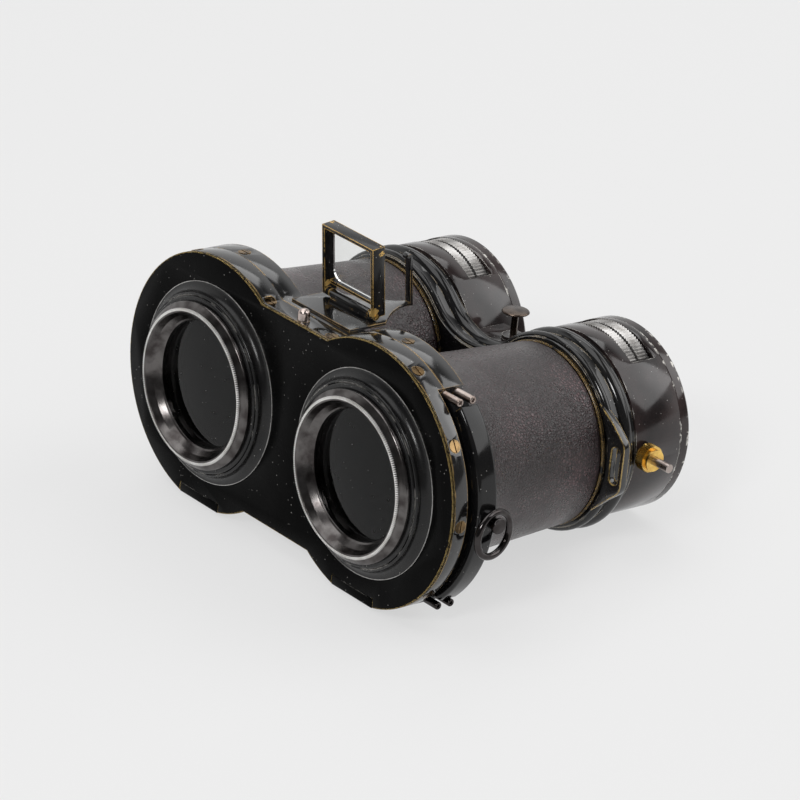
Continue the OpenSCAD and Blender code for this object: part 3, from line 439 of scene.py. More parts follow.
class Nodes:
    """Adds nodes to a tree and joins them."""

    def __init__(self, tree: bpy.types.NodeTree) -> None:
        """Takes the tree that is to be filled."""
        self.tree = tree

    def join(self, source: Socket, target: Socket) -> None:
        """Links two sockets."""
        self.tree.links.new(source, target)

    def give(self, socket: Socket, value: object) -> None:
        """Feeds a socket.

        Args:
            socket: The socket.
            value: The socket that feeds it, or its value; a colour gets its alpha here.
        """
        if isinstance(value, Socket):
            self.join(value, socket)
        elif socket.type == "RGBA":
            socket.default_value = (*value, 1.0)
        else:
            socket.default_value = value

    def node(self, kind: str, inputs: dict | None = None, **settings: object) -> bpy.types.Node:
        """Adds a node.

        Args:
            kind: The node's type.
            inputs: Values or sockets by the input's name or number.
            settings: Values of the node's own properties.

        Returns:
            The node.
        """
        made = self.tree.nodes.new(kind)
        for key, value in settings.items():
            setattr(made, key, value)
        for key, value in (inputs or {}).items():
            self.give(made.inputs[key], value)
        return made

    def ramp(self, source: Socket, low: float, high: float) -> Socket:
        """Maps a factor so that low gives 0 and high gives 1."""
        inputs = {"Value": source, "From Min": low, "From Max": high}
        return self.node("ShaderNodeMapRange", inputs, clamp=True).outputs[0]

    def math(self, operation: str, first: object, second: object = 0.0) -> Socket:
        """A calculation on two values or sockets."""
        return self.node("ShaderNodeMath", {0: first, 1: second}, operation=operation).outputs[0]

    def times(self, first: object, second: object) -> Socket:
        """The product of two values or sockets."""
        return self.math("MULTIPLY", first, second)

    def plus(self, first: object, second: object) -> Socket:
        """The sum of two values or sockets."""
        return self.math("ADD", first, second)

    def vector(self, operation: str, first: object, second: object) -> Socket:
        """A calculation on two vectors; a distance or a dot product gives one value."""
        made = self.node("ShaderNodeVectorMath", {0: first, 1: second}, operation=operation)
        return made.outputs["Value" if operation in ("DISTANCE", "DOT_PRODUCT") else "Vector"]


class Shader(Nodes):
    """Builds one procedural material on a Principled shader."""

    def __init__(self, name: str) -> None:
        """Starts an empty material.

        Args:
            name: Name of the finish.
        """
        self.material = bpy.data.materials.new(name)
        self.material.use_nodes = True
        super().__init__(self.material.node_tree)
        self.tree.nodes.clear()
        self.output = self.node("ShaderNodeOutputMaterial")
        self.surface = self.node("ShaderNodeBsdfPrincipled")
        self.join(self.surface.outputs["BSDF"], self.output.inputs["Surface"])
        self.coordinates = self.node("ShaderNodeTexCoord").outputs["Object"]

    def noise(self, scale: float, detail: float = 3.0, stretch: Sequence[float] = (1, 1, 1)) -> Socket:
        """A noise pattern on object coordinates.

        Args:
            scale: Features per metre.
            detail: Octaves.
            stretch: Scale along each axis.

        Returns:
            Its factor.
        """
        mapped = self.node("ShaderNodeMapping", {"Vector": self.coordinates, "Scale": stretch})
        inputs = {"Vector": mapped.outputs[0], "Scale": scale, "Detail": detail}
        return self.node("ShaderNodeTexNoise", inputs).outputs["Fac"]

    def patches(self, scale: float, detail: float, low: float, high: float) -> Socket:
        """A mask of irregular patches, by the four numbers of a pattern."""
        return self.ramp(self.noise(scale, detail), low, high)

    def cells(self, scale: float, where: Socket | None = None, feature: str = "F1") -> Socket:
        """The distance from the middle or the edge of a cell, in a pattern of scale cells per metre."""
        inputs = {"Vector": self.coordinates if where is None else where, "Scale": scale}
        return self.node("ShaderNodeTexVoronoi", inputs, feature=feature).outputs["Distance"]

    def dust(self, scale: float, size: float, where: Socket) -> Socket:
        """A mask of specks: how many per metre, their size as a share of a cell, and where they lie."""
        return self.times(self.ramp(self.cells(scale), size, size / 2), where)

    def mix(self, factor: object, first: object, second: object) -> Socket:
        """Mixes two colours by a factor."""
        inputs = {0: factor, 6: first, 7: second}
        return self.node("ShaderNodeMix", inputs, data_type="RGBA").outputs[2]

    def edges(self, radius: float, low: float, high: float) -> Socket:
        """A mask of the worn edges: where rounding an edge would turn the surface.

        Args:
            radius: Reach of the wear in millimetres.
            low: Turn at which the wear starts.
            high: Turn at which the wear is full.

        Returns:
            The mask.
        """
        bevel = self.node("ShaderNodeBevel", {"Radius": radius * MM}, samples=6)
        normal = self.node("ShaderNodeNewGeometry").outputs["Normal"]
        alike = self.vector("DOT_PRODUCT", bevel.outputs[0], normal)
        return self.ramp(self.math("SUBTRACT", 1.0, alike), low, high)

    def bump(self, height: Socket, distance: float, strength: float = 1.0) -> None:
        """Raises the surface by a height.

        Args:
            height: The height's factor.
            distance: Its size in millimetres.
            strength: Its strength.
        """
        inputs = {"Height": height, "Distance": distance * MM, "Strength": strength}
        made = self.node("ShaderNodeBump", inputs)
        self.join(made.outputs[0], self.surface.inputs["Normal"])

    def set(self, **values: object) -> None:
        """Sets inputs of the Principled shader; an underscore in a name stands for a space."""
        for key, value in values.items():
            self.give(self.surface.inputs[key.replace("_", " ")], value)


def grey(level: float) -> Colour:
    """An even grey."""
    return (level, level, level)


BLACK = grey(0.0022)
DULL_BLACK = grey(0.004)
DUST = (0.42, 0.41, 0.39)
DUST_ON_GLASS = (0.6, 0.6, 0.58)


@dataclass(frozen=True)
class Lacquer:
    """Black lacquer over brass that is worn through along its edges and at some spots."""

    name: str
    base: Colour = (0.0045, 0.0045, 0.005)
    dull: Colour = (0.011, 0.0105, 0.010)
    worn: Colour = (0.42, 0.27, 0.10)
    reach: float = 0.45
    wear_from: float = 0.015
    wear_to: float = 0.07
    patch: float = 0.40
    patch_scale: float = 160.0
    patch_fade: float = 0.10
    roughness: float = 0.12
    gloss: float = 0.85
    dust: float = 0.7
    speck_scale: float = 620.0
    speck_size: float = 0.12
    spots: tuple[tuple[float, float, float, float], ...] = ()
    bands: tuple[tuple[float, float], ...] = ()
    kept_r: float = 0.0
    ripple: float = 1.0
    bump_height: float = 0.010
    scratch_stretch: Sequence[float] = (1.0, 0.12, 0.35)
    spot_ragged: float = 2.4
    scuffs: Pattern = (650, 6, 0.50, 0.56)
    scuffed_areas: Pattern = (150, 4, 0.50, 0.58)
    flecks: Pattern = (900, 3, 0.30, 0.42)
    dusty: Pattern = (260, 3, 0.47, 0.56)
    faded: Pattern = (90, 4, 0.4, 0.75)
    smudges: Pattern = (240, 5, 0.35, 0.8)

    def wear(self, s: Shader) -> Socket:
        """Where the brass shows: along broken stretches of the edges, and at the spots.

        Args:
            s: The shader that is being built.

        Returns:
            The mask.
        """
        patches = s.patches(self.patch_scale, 5, self.patch, self.patch + self.patch_fade)
        edge = s.times(s.edges(self.reach, self.wear_from, self.wear_to), patches)
        if self.kept_r:
            edge = s.times(edge, self.beyond(s, self.kept_r))
        for x, y, z, radius in self.spots:
            away = s.vector("DISTANCE", s.coordinates, SPACE.place(x, y, z))
            ragged = s.plus(away, s.times(s.noise(700, 4), radius * self.spot_ragged * MM))
            edge = s.math("MAXIMUM", edge, s.ramp(ragged, radius * 2.0 * MM, radius * 1.9 * MM))
        if self.bands:
            axis = SPACE.axis(0, 1, 0)
            along = s.vector("DOT_PRODUCT", s.coordinates, axis)
            scuffs = s.times(s.patches(*self.scuffs), s.patches(*self.scuffed_areas))
            for y, half in self.bands:
                away = s.math("ABSOLUTE", s.math("SUBTRACT", along, axis.dot(SPACE.place(0, y, 0))))
                near = s.ramp(away, half * MM, half * 0.6 * MM)
                edge = s.math("MAXIMUM", edge, s.times(near, scuffs))
        return s.times(edge, s.patches(*self.flecks))

    def beyond(self, s: Shader, radius: float) -> Socket:
        """Where the surface lies further than a radius from both lens axes.

        Args:
            s: The shader that is being built.
            radius: The radius in millimetres.

        Returns:
            The mask.
        """
        lengths = []
        for axis in (SPACE.axis(1, 0, 0), SPACE.axis(0, 0, 1)):
            along = s.vector("DOT_PRODUCT", s.coordinates, axis)
            lengths.append(s.math("SUBTRACT", along, axis.dot(SPACE.place(0, 0, 0))))
        across = s.math("SUBTRACT", s.math("ABSOLUTE", lengths[0]), SIZE.axis_x * MM)
        square = s.plus(s.times(across, across), s.times(lengths[1], lengths[1]))
        return s.ramp(s.math("SQRT", square), radius * MM, (radius + 1.0) * MM)

    def build(self) -> Material:
        """Builds the material."""
        s = Shader(self.name)
        bare = self.wear(s)
        dust_lies = s.times(s.patches(*self.dusty), self.dust)
        dust = s.dust(self.speck_scale, self.speck_size, dust_lies)
        lacquer = s.mix(s.patches(*self.faded), self.base, self.dull)
        s.set(Base_Color=s.mix(bare, s.mix(dust, lacquer, DUST), self.worn))
        s.set(Metallic=s.times(bare, 0.3))
        smudge = s.times(s.patches(*self.smudges), 0.10)
        rough = s.plus(smudge, self.roughness - 0.03)
        s.set(Roughness=s.plus(rough, s.times(bare, 0.2)))
        s.set(Specular_IOR_Level=self.gloss)
        scratches = s.times(s.noise(1500, 2, self.scratch_stretch), 0.4)
        height = s.plus(scratches, s.times(s.noise(300, 2), 0.6))
        s.bump(height, self.bump_height, 0.30 * self.ripple)
        return s.material


@dataclass(frozen=True)
class Leather:
    """Dark grained leather, a little rubbed."""

    name: str
    base: Colour = (0.007, 0.005, 0.005)
    raised: Colour = (0.066, 0.034, 0.037)
    rubbed: Colour = (0.21, 0.13, 0.137)
    roughness: float = 0.36
    pebble: float = 1050.0
    fine_pebbles: float = 2.3
    drift: float = 0.0009
    soft: Pattern = (120, 4, 0.35, 0.7)
    rubbed_areas: Pattern = (75, 5, 0.48, 0.72)
    dark_areas: Pattern = (38, 3, 0.62, 0.38)
    bump_height: float = 0.11

    def build(self) -> Material:
        """Builds the material."""
        s = Shader(self.name)
        warp = s.node("ShaderNodeTexNoise", {"Vector": s.coordinates, "Scale": 500.0, "Detail": 2.0})
        drift = s.vector("MULTIPLY", warp.outputs["Color"], (self.drift, self.drift, self.drift))
        where = s.vector("ADD", s.coordinates, drift)
        cells = s.cells(self.pebble, where, "DISTANCE_TO_EDGE")
        small = s.cells(self.pebble * self.fine_pebbles, where, "DISTANCE_TO_EDGE")
        pebbles = s.plus(s.ramp(cells, 0.0, 0.32), s.times(s.ramp(small, 0.0, 0.3), 0.4))
        tone = s.mix(s.ramp(pebbles, 0.1, 1.4), self.base, self.raised)
        rub = s.times(s.patches(*self.rubbed_areas), s.ramp(pebbles, 0.5, 1.4))
        worn = s.mix(s.times(rub, 0.8), tone, self.rubbed)
        dark = s.times(s.patches(*self.dark_areas), 0.55)
        s.set(Base_Color=s.mix(dark, worn, self.base))
        soft = s.times(s.patches(*self.soft), 0.14)
        s.set(Roughness=s.math("SUBTRACT", self.roughness, soft))
        s.set(Specular_IOR_Level=0.62)
        height = s.plus(pebbles, s.times(s.noise(260, 4), 1.2))
        s.bump(height, self.bump_height)
        return s.material


@dataclass(frozen=True)
class Metal:
    """Bare metal with tarnish, turning marks and bright worn edges."""

    name: str
    base: Colour
    tarnish: Colour
    bright: Colour
    roughness: float = 0.25
    tarnish_from: float = 0.42
    marks: Sequence[float] = (1.0, 1.0, 1.0)
    marks_depth: float = 0.008
    metallic: float = 1.0
    bright_edges: Pattern = (500, 3, 0.35, 0.6)
    rubbed: Pattern = (500, 4, 0.3, 0.75)

    def build(self) -> Material:
        """Builds the material."""
        s = Shader(self.name)
        stain = s.patches(260, 5, self.tarnish_from, self.tarnish_from + 0.25)
        edge = s.times(s.edges(0.3, 0.05, 0.3), s.patches(*self.bright_edges))
        coloured = s.mix(stain, self.base, self.tarnish)
        s.set(Base_Color=s.mix(edge, coloured, self.bright), Metallic=self.metallic)
        wear = s.times(s.patches(*self.rubbed), 0.10)
        s.set(Roughness=s.plus(wear, self.roughness - 0.04))
        s.bump(s.noise(1600, 3, self.marks), self.marks_depth, 0.3)
        return s.material


@dataclass(frozen=True)
class Glass:
    """Old glass with a faint haze and specks of dust."""

    name: str
    tint: Colour = (0.93, 0.95, 0.93)
    haze: float = 0.01
    density: float = 1.5
    dusty: Pattern = (200, 3, 0.46, 0.56)
    smeared: Pattern = (60, 3, 0.5, 0.9)

    def build(self) -> Material:
        """Builds the material."""
        s = Shader(self.name)
        s.set(Transmission_Weight=1.0, IOR=self.density, Metallic=0.0)
        dust = s.dust(500.0, 0.10, s.patches(*self.dusty))
        s.set(Base_Color=s.mix(dust, self.tint, DUST_ON_GLASS))
        smear = s.times(s.patches(*self.smeared), self.haze)
        s.set(Roughness=s.plus(smear, s.times(dust, 0.7)))
        return s.material


# Spots in the camera's space where the brass shows, at the finder's corners
WORN_SPOTS = (
    (-10.6, 19.0, 53.2, 1.1),
    (10.4, 19.0, 52.2, 1.6),
    (-10.6, 19.0, 36.0, 1.2),
    (10.4, 19.0, 34.8, 2.0),
)


class Finishes:
    """All finishes of the camera, built once."""

    def __init__(self) -> None:
        """Builds the materials."""
        self.face = Lacquer(
            "face_lacquer", gloss=0.03, roughness=0.25, patch=0.25, reach=0.55, base=BLACK, dull=DULL_BLACK,
            worn=(0.95, 0.68, 0.25), kept_r=34.4,
        ).build()
        self.feet = Lacquer(
            "foot_lacquer", gloss=0.03, roughness=0.25, patch=0.44, reach=0.3, base=BLACK, dull=DULL_BLACK,
            worn=(0.30, 0.29, 0.27),
        ).build()
        self.mount = Lacquer(
            "mount_lacquer", gloss=0.32, roughness=0.26, patch=0.46, worn=(0.5, 0.48, 0.45), dust=0.8,
            ripple=0.25,
        ).build()
        self.body = Lacquer("body_lacquer", patch=0.42).build()
        self.drawer = Lacquer("drawer_lacquer", patch=0.5, gloss=0.35, roughness=0.1).build()
        self.ear = Lacquer("ear_lacquer", patch=0.38, reach=0.6, worn=(0.80, 0.55, 0.18)).build()
        self.rear = Lacquer(
            "drum_lacquer", worn=(0.58, 0.56, 0.52), patch=0.46, reach=0.35, gloss=0.5,
            bands=((SIZE.drum_y1, 0.4), (SIZE.cap_y1 - 0.65, 0.8), (SIZE.bridge_y1 - 0.7, 0.2)),
            base=(0.011, 0.008, 0.008), dull=(0.040, 0.026, 0.025),
        ).build()
        self.bridge = Lacquer(
            "bridge_lacquer", worn=(0.58, 0.50, 0.38), patch=0.46, reach=0.35, gloss=0.5, roughness=0.08,
            ripple=0.3,
        ).build()
        self.inside = Lacquer("inside_lacquer", gloss=0.1, roughness=0.6, patch=0.7, dust=0.2).build()
        self.finder = Lacquer(
            "finder_lacquer", gloss=0.26, roughness=0.22, worn=(0.66, 0.42, 0.13), patch=0.36, reach=0.5,
            dust=0.8, spots=WORN_SPOTS,
        ).build()
        self.leather = Leather("grained_leather").build()
        self.bezel = Metal(
            "oxidised_bezel", (0.135, 0.127, 0.124), (0.052, 0.046, 0.045), (0.62, 0.60, 0.58),
            0.20, tarnish_from=0.40, marks_depth=0.004,
        ).build()
        self.rim = Metal(
            "bright_milling", (0.88, 0.87, 0.85), (0.66, 0.64, 0.61), (0.85, 0.84, 0.82), 0.35,
            metallic=0.55,
        ).build()
        self.wheel = Metal(
            "milled_wheel", (0.42, 0.41, 0.40), (0.22, 0.21, 0.20), (0.8, 0.79, 0.77), 0.3,
            metallic=0.8,
        ).build()
        self.steel = Metal(
            "pinkish_steel", (0.66, 0.57, 0.53), (0.34, 0.25, 0.22), (0.85, 0.80, 0.76), 0.2
        ).build()
        self.bronze = Metal(
            "browned_steel", (0.13, 0.10, 0.08), (0.045, 0.033, 0.027), (0.5, 0.38, 0.24), 0.28
        ).build()
        self.stud = Metal(
            "threaded_stud", (0.42, 0.36, 0.33), (0.20, 0.14, 0.11), (0.8, 0.74, 0.68), 0.3
        ).build()
        # Dark steel of the pull ring and its post; the lower guide rods also get it, as painted shade
        self.dark_steel_and_rod_shade = Metal(
            "blued_steel_and_rod_shade", (0.065, 0.06, 0.06), (0.035, 0.03, 0.029), (0.38, 0.33, 0.30), 0.12
        ).build()
        self.brass = Metal(
            "polished_brass", (0.90, 0.60, 0.17), (0.58, 0.33, 0.08), (1.0, 0.80, 0.36), 0.24
        ).build()
        self.screws = Metal(
            "worn_screws", (0.34, 0.22, 0.10), (0.03, 0.022, 0.018), (0.6, 0.40, 0.18), 0.25,
            tarnish_from=0.36,
        ).build()
        # The objective glass is tinted nearly black: painted shade of the dark inside that shows through the
        # lens
        self.glass = Glass("bloomed_glass_painted_dark", tint=(0.12, 0.125, 0.12), density=1.25).build()
        self.clear = Glass("finder_glass", tint=(0.97, 0.98, 0.97), haze=0.05).build()


FINISH = Finishes()


def dress(piece: Piece, finish: Material, body: str = BODY) -> Piece:
    """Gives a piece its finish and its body.

    Args:
        piece: The piece.
        finish: Its material.
        body: The CAD body it rides on.

    Returns:
        The same piece.
    """
    piece.data.materials.clear()
    piece.data.materials.append(finish)
    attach(piece, body)
    LOG.info("%s: %d faces, rides on %s", piece.name, len(piece.data.polygons), body)
    return piece


def paint(node: str, finish: Material) -> None:
    """Gives a CAD node's own object a finish.

    Args:
        node: Name of the CAD node.
        finish: Its material.
    """
    data = FRAME["nodes"][node].data
    if not data.materials:
        data.materials.append(finish)
    for i in range(len(data.materials)):
        data.materials[i] = finish
    LOG.info("%s keeps its solid, in %s", node, finish.name)


# Repeats by geometry nodes


class RingOfTeeth:
    """A geometry tree that sets small ridges in a ring about an axis."""

    INPUTS = {
        "Count": "NodeSocketInt",
        "Radius": "NodeSocketFloat",
        "Tooth Width": "NodeSocketFloat",
        "Tooth Length": "NodeSocketFloat",
        "Tooth Height": "NodeSocketFloat",
        "Finish": "NodeSocketMaterial",
    }
    # From the tooth's middle to its corners, at the crest and at the foot, which is 1 wide
    CREST_R = 0.32
    FOOT_R = 0.7071

    def __init__(self, name: str) -> None:
        """Builds the tree.

        Args:
            name: Name of the tree.
        """
        self.tree = bpy.data.node_groups.new(name, "GeometryNodeTree")
        sockets = self.tree.interface
        self.sockets = {
            label: sockets.new_socket(label, in_out="INPUT", socket_type=kind)
            for label, kind in self.INPUTS.items()
        }
        sockets.new_socket("Mesh", in_out="OUTPUT", socket_type="NodeSocketGeometry")
        node = Nodes(self.tree).node
        given = node("NodeGroupInput").outputs
        ring = node("GeometryNodeMeshCircle", {"Vertices": given["Count"], "Radius": given["Radius"]})
        cone = {"Vertices": 4, "Side Segments": 1, "Fill Segments": 1, "Depth": 1.0}
        cone |= {"Radius Top": self.CREST_R, "Radius Bottom": self.FOOT_R}
        tooth = node("GeometryNodeMeshCone", cone).outputs["Mesh"]
        square = node("GeometryNodeTransform", {"Geometry": tooth, "Rotation": (0.0, 0.0, math.pi / 4)})
        lengths = {"X": given["Tooth Width"], "Y": given["Tooth Length"], "Z": given["Tooth Height"]}
        size = node("ShaderNodeCombineXYZ", lengths).outputs["Vector"]
        sized = node("GeometryNodeTransform", {"Geometry": square.outputs["Geometry"], "Scale": size})
        outward = {"Vector": node("GeometryNodeInputPosition").outputs["Position"]}
        aim = node("FunctionNodeAlignRotationToVector", outward, axis="Z", pivot_axis="AUTO")
        upright = {"Rotation": aim.outputs["Rotation"], "Vector": (0.0, 0.0, 1.0)}
        spin = node("FunctionNodeAlignRotationToVector", upright, axis="Y", pivot_axis="Z")
        spots = {
            "Points": ring.outputs["Mesh"],
            "Instance": sized.outputs["Geometry"],
            "Rotation": spin.outputs["Rotation"],
        }
        scatter = node("GeometryNodeInstanceOnPoints", spots).outputs["Instances"]
        real = node("GeometryNodeRealizeInstances", {"Geometry": scatter}).outputs["Geometry"]
        finish = node("GeometryNodeSetMaterial", {"Geometry": real, "Material": given["Finish"]})
        node("NodeGroupOutput", {0: finish.outputs["Geometry"]})

    def make(
        self,
        name: str,
        count: int,
        radius: float,
        tooth: tuple[float, float, float],
        finish: Material,
        place: Matrix,
    ) -> Piece:
        """Makes one ring of teeth as a plain mesh.

        Args:
            name: Name of the piece.
            count: Number of teeth.
            radius: Radius at the middle of a tooth, in millimetres.
            tooth: Width round the ring, length along the axis and height, in millimetres.
            finish: The material.
            place: Takes the ring, drawn about +Z in millimetres, to the camera's space.

        Returns:
            The ring.
        """
        holder = add(name, bpy.data.meshes.new(name))
        modifier = holder.modifiers.new("teeth", "NODES")
        modifier.node_group = self.tree
        for label, value in zip(self.INPUTS, (count, radius, *tooth, finish)):
            modifier[self.sockets[label].identifier] = value
        applied(holder, modifier).transform(SPACE.matrix @ place)
        return holder


TEETH = RingOfTeeth("ring_of_teeth")


# Sub-assemblies


@dataclass
class OnLensAxis:
    """A sub-assembly that stands on the lens axis of one side."""

    side: Side

    @property
    def x(self) -> float:
        """Place of the lens axis."""
        return self.side.value * SIZE.axis_x

    def named(self, stem: str) -> str:
        """The stem with this side's word behind it."""
        return f"{stem}_{self.side.word}"


@dataclass
class Objective(OnLensAxis):
    """One objective: mount, bright flange line, bezel with a milled rim, and lens."""

    bore: float = 20.4
    spigot_t: float = 1.8
    spigot_y: float = 4.4
    collar_r: float = 30.6
    collar_y: float = 1.9
    seat_r: float = 23.2
    seat_y: float = 1.05
    gap: float = 0.05
    rim_teeth: int = 230
    tooth: tuple[float, float, float] = (0.48, 0.72, 0.80)
    bead_room: float = 1.4
    # Each bead's middle in from the shoulder and down from the top, its radius and its first angle
    beads: tuple[tuple[float, float, float, float], ...] = ((0.6, 1.25, 0.6, 30), (1.5, 0.65, 0.55, 40))

    def mount(self) -> Piece:
        """Makes the mount: a hollow shoulder, then two beads."""
        shoulder = SIZE.flange_r - SIZE.mount_r
        depth = SIZE.mount_h - self.bead_room
        curve = [
            (SIZE.flange_r + shoulder * math.cos(math.radians(a)), -depth + depth * math.sin(math.radians(a)))
            for a in range(90, 181, 9)
        ]
        beads = []
        for inset, down, r, start in self.beads:
            beads += arc(SIZE.mount_r - inset, down - SIZE.mount_h, r, start, -100, 8)
        profile = (
            [
                (self.bore, self.spigot_y),
                (self.bore + self.spigot_t, self.spigot_y),
                (self.collar_r, self.collar_y),
                (self.collar_r, self.seat_y),
                (SIZE.flange_r, self.seat_y),
            ]
            + curve
            + beads
            + [(self.seat_r, self.gap - SIZE.mount_h), (self.seat_r, -self.seat_y), (self.bore, -self.seat_y)]
        )
        name = self.named("objective_mount")
        piece = turned(f"{name}_turned", profile, self.x, segments=180)
        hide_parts(name)
        return dress(piece, FINISH.mount)

    def bezel(self) -> Piece:
        """Makes the bezel: a swelling skirt, a rim and an inner cone."""
        top, rim, r0 = SIZE.bezel_h, SIZE.bezel_rim_r, SIZE.aperture_r
        seat_r, seat_y = self.seat_r - self.gap, -self.seat_y - self.gap
        corners = [
            (r0, seat_y, 0.0),
            (seat_r, seat_y, 0.0),
            (seat_r, -SIZE.mount_h, 0.0),
            (SIZE.bezel_r, -SIZE.mount_h - self.gap, 0.15),
            (SIZE.bezel_r - 0.15, -top + 2.0, 0.7),
            (rim + 1.3, -top + 1.4, 0.9),
            (rim + 0.10, -top + 0.75, 0.3),
            (rim + 0.02, -top + 0.22, 0.1),
            (rim - 0.66, -top + 0.22, 0.1),
            (rim - 0.78, -top + 0.45, 0.15),
            (rim - 1.7, -top + 2.2, 1.0),
            (r0 + 0.5, -top + 3.8, 0.5),
            (r0, -top + 4.2, 0.2),
        ]
        name = self.named("objective_bezel")
        piece = turned(f"{name}_turned", rounded(corners), self.x, segments=192)
        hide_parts(name)
        return dress(piece, FINISH.bezel)

    def flange_line(self) -> Piece:
        """Makes the thin bright line round the mount's flange."""
        line = circle(SIZE.flange_r - 0.08, -0.02, 0.13, 8)
        piece = turned(self.named("flange_line"), line, self.x, segments=180)
        return dress(piece, FINISH.wheel)

    def milling(self) -> Piece:
        """Makes the milled teeth round the bezel's rim."""
        place = Matrix.Translation((self.x, -SIZE.bezel_h + 0.40, 0)) @ Matrix.Rotation(math.pi / 2, 4, "X")
        name, radius = self.named("bezel_milling"), SIZE.bezel_rim_r - 0.25
        piece = TEETH.make(name, self.rim_teeth, radius, self.tooth, FINISH.rim, place)
        return dress(piece, FINISH.rim)

    def lens(self) -> Piece:
        """Makes the lens, bulging on both faces."""
        r = self.bore - self.gap
        ball = (r * r + SIZE.lens_bulge**2) / (2 * SIZE.lens_bulge)
        span = math.degrees(math.asin(r / ball))
        step = SIZE.lens_bulge * (1 - (SIZE.aperture_r / r) ** 2) + self.gap
        y0 = -self.seat_y + step
        y1 = y0 + SIZE.lens_edge
        front = arc(0, y0 - SIZE.lens_bulge + ball, ball, -90, -90 + span, 16)
        back = arc(0, y1 + SIZE.lens_bulge - ball, ball, 90 - span, 90, 16)
        front[0] = (0.0, front[0][1])
        back[-1] = (0.0, back[-1][1])
        name = self.named("objective_lens")
        piece = turned(f"{name}_ground", front + back, self.x, closed=False)
        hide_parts(name)
        return dress(piece, FINISH.glass)

    def build(self) -> None:
        """Makes the whole objective."""
        self.mount()
        self.bezel()
        self.flange_line()
        self.milling()
        self.lens()
        paint(self.named("objective_retainer"), FINISH.inside)


@dataclass
class Barrel(OnLensAxis):
    """One barrel: its tube, its leather and the brass edge behind the leather."""

    wrinkle: float = 0.10
    slow_waves: float = 0.055
    quick_waves: float = 0.24
    rings: int = 70
    front_gap: float = 0.12
    lip: float = 0.45
    lip_len: float = 0.8

    def unevenness(self, point: Vector) -> float:
        """How uneven the leather is.

        Args:
            point: A point of the leather, in the camera's space.

        Returns:
            How far it stands out from its true round, in millimetres.
        """
        slow = noise.noise(point * self.slow_waves + Vector((self.x, 3.0, 7.0)))
        quick = noise.noise(point * self.quick_waves + Vector((5.0, self.x, 1.0)))
        return self.wrinkle * (0.8 * slow + 0.35 * quick) - 0.05

    def leather(self) -> Piece:
        """Makes the leather skin with rolled ends."""
        y0 = SIZE.frame_y1 + self.front_gap
        y1 = SIZE.bridge_y0 - SIZE.leather_end
        outer = []
        for i in range(self.rings + 1):
            y = y0 + (y1 - y0) * i / self.rings
            from_ends = (max(0.0, 1 - away / self.lip_len) for away in (y - y0, y1 - y))
            outer.append((barrel_radius(y) - self.lip * sum(near**2 for near in from_ends), y))
        quarter = outer[len(outer) // 4]
        inner = [(barrel_radius(y) - SIZE.leather_t, y) for _, y in (outer[-1], quarter, outer[0])]
        name = self.named("barrel_leather")
        piece = turned(f"{name}_skin", outer + inner, self.x, segments=220, shift=self.unevenness)
        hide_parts(name)
        return dress(piece, FINISH.leather)

    def edge(self) -> Piece:
        """Makes the brass line between the leather and the rear bridge."""
        y0, y1 = SIZE.bridge_y0 - 1.1, SIZE.bridge_y0 - 0.02
        r = SIZE.barrel_end_r
        inner = [(r - 0.75, y0, 0), (r - 0.75, y1, 0)]
        corners = inner + [(r + 0.1, y1, 0.1), (r + 0.3, y0 + 0.3, 0.2), (r, y0, 0.1)]
        piece = turned(self.named("leather_edge"), rounded(corners), self.x)
        return dress(piece, FINISH.finder)

    def build(self) -> None:
        """Makes the whole barrel."""
        self.leather()
        self.edge()
        paint(self.named("barrel_tube"), FINISH.inside)


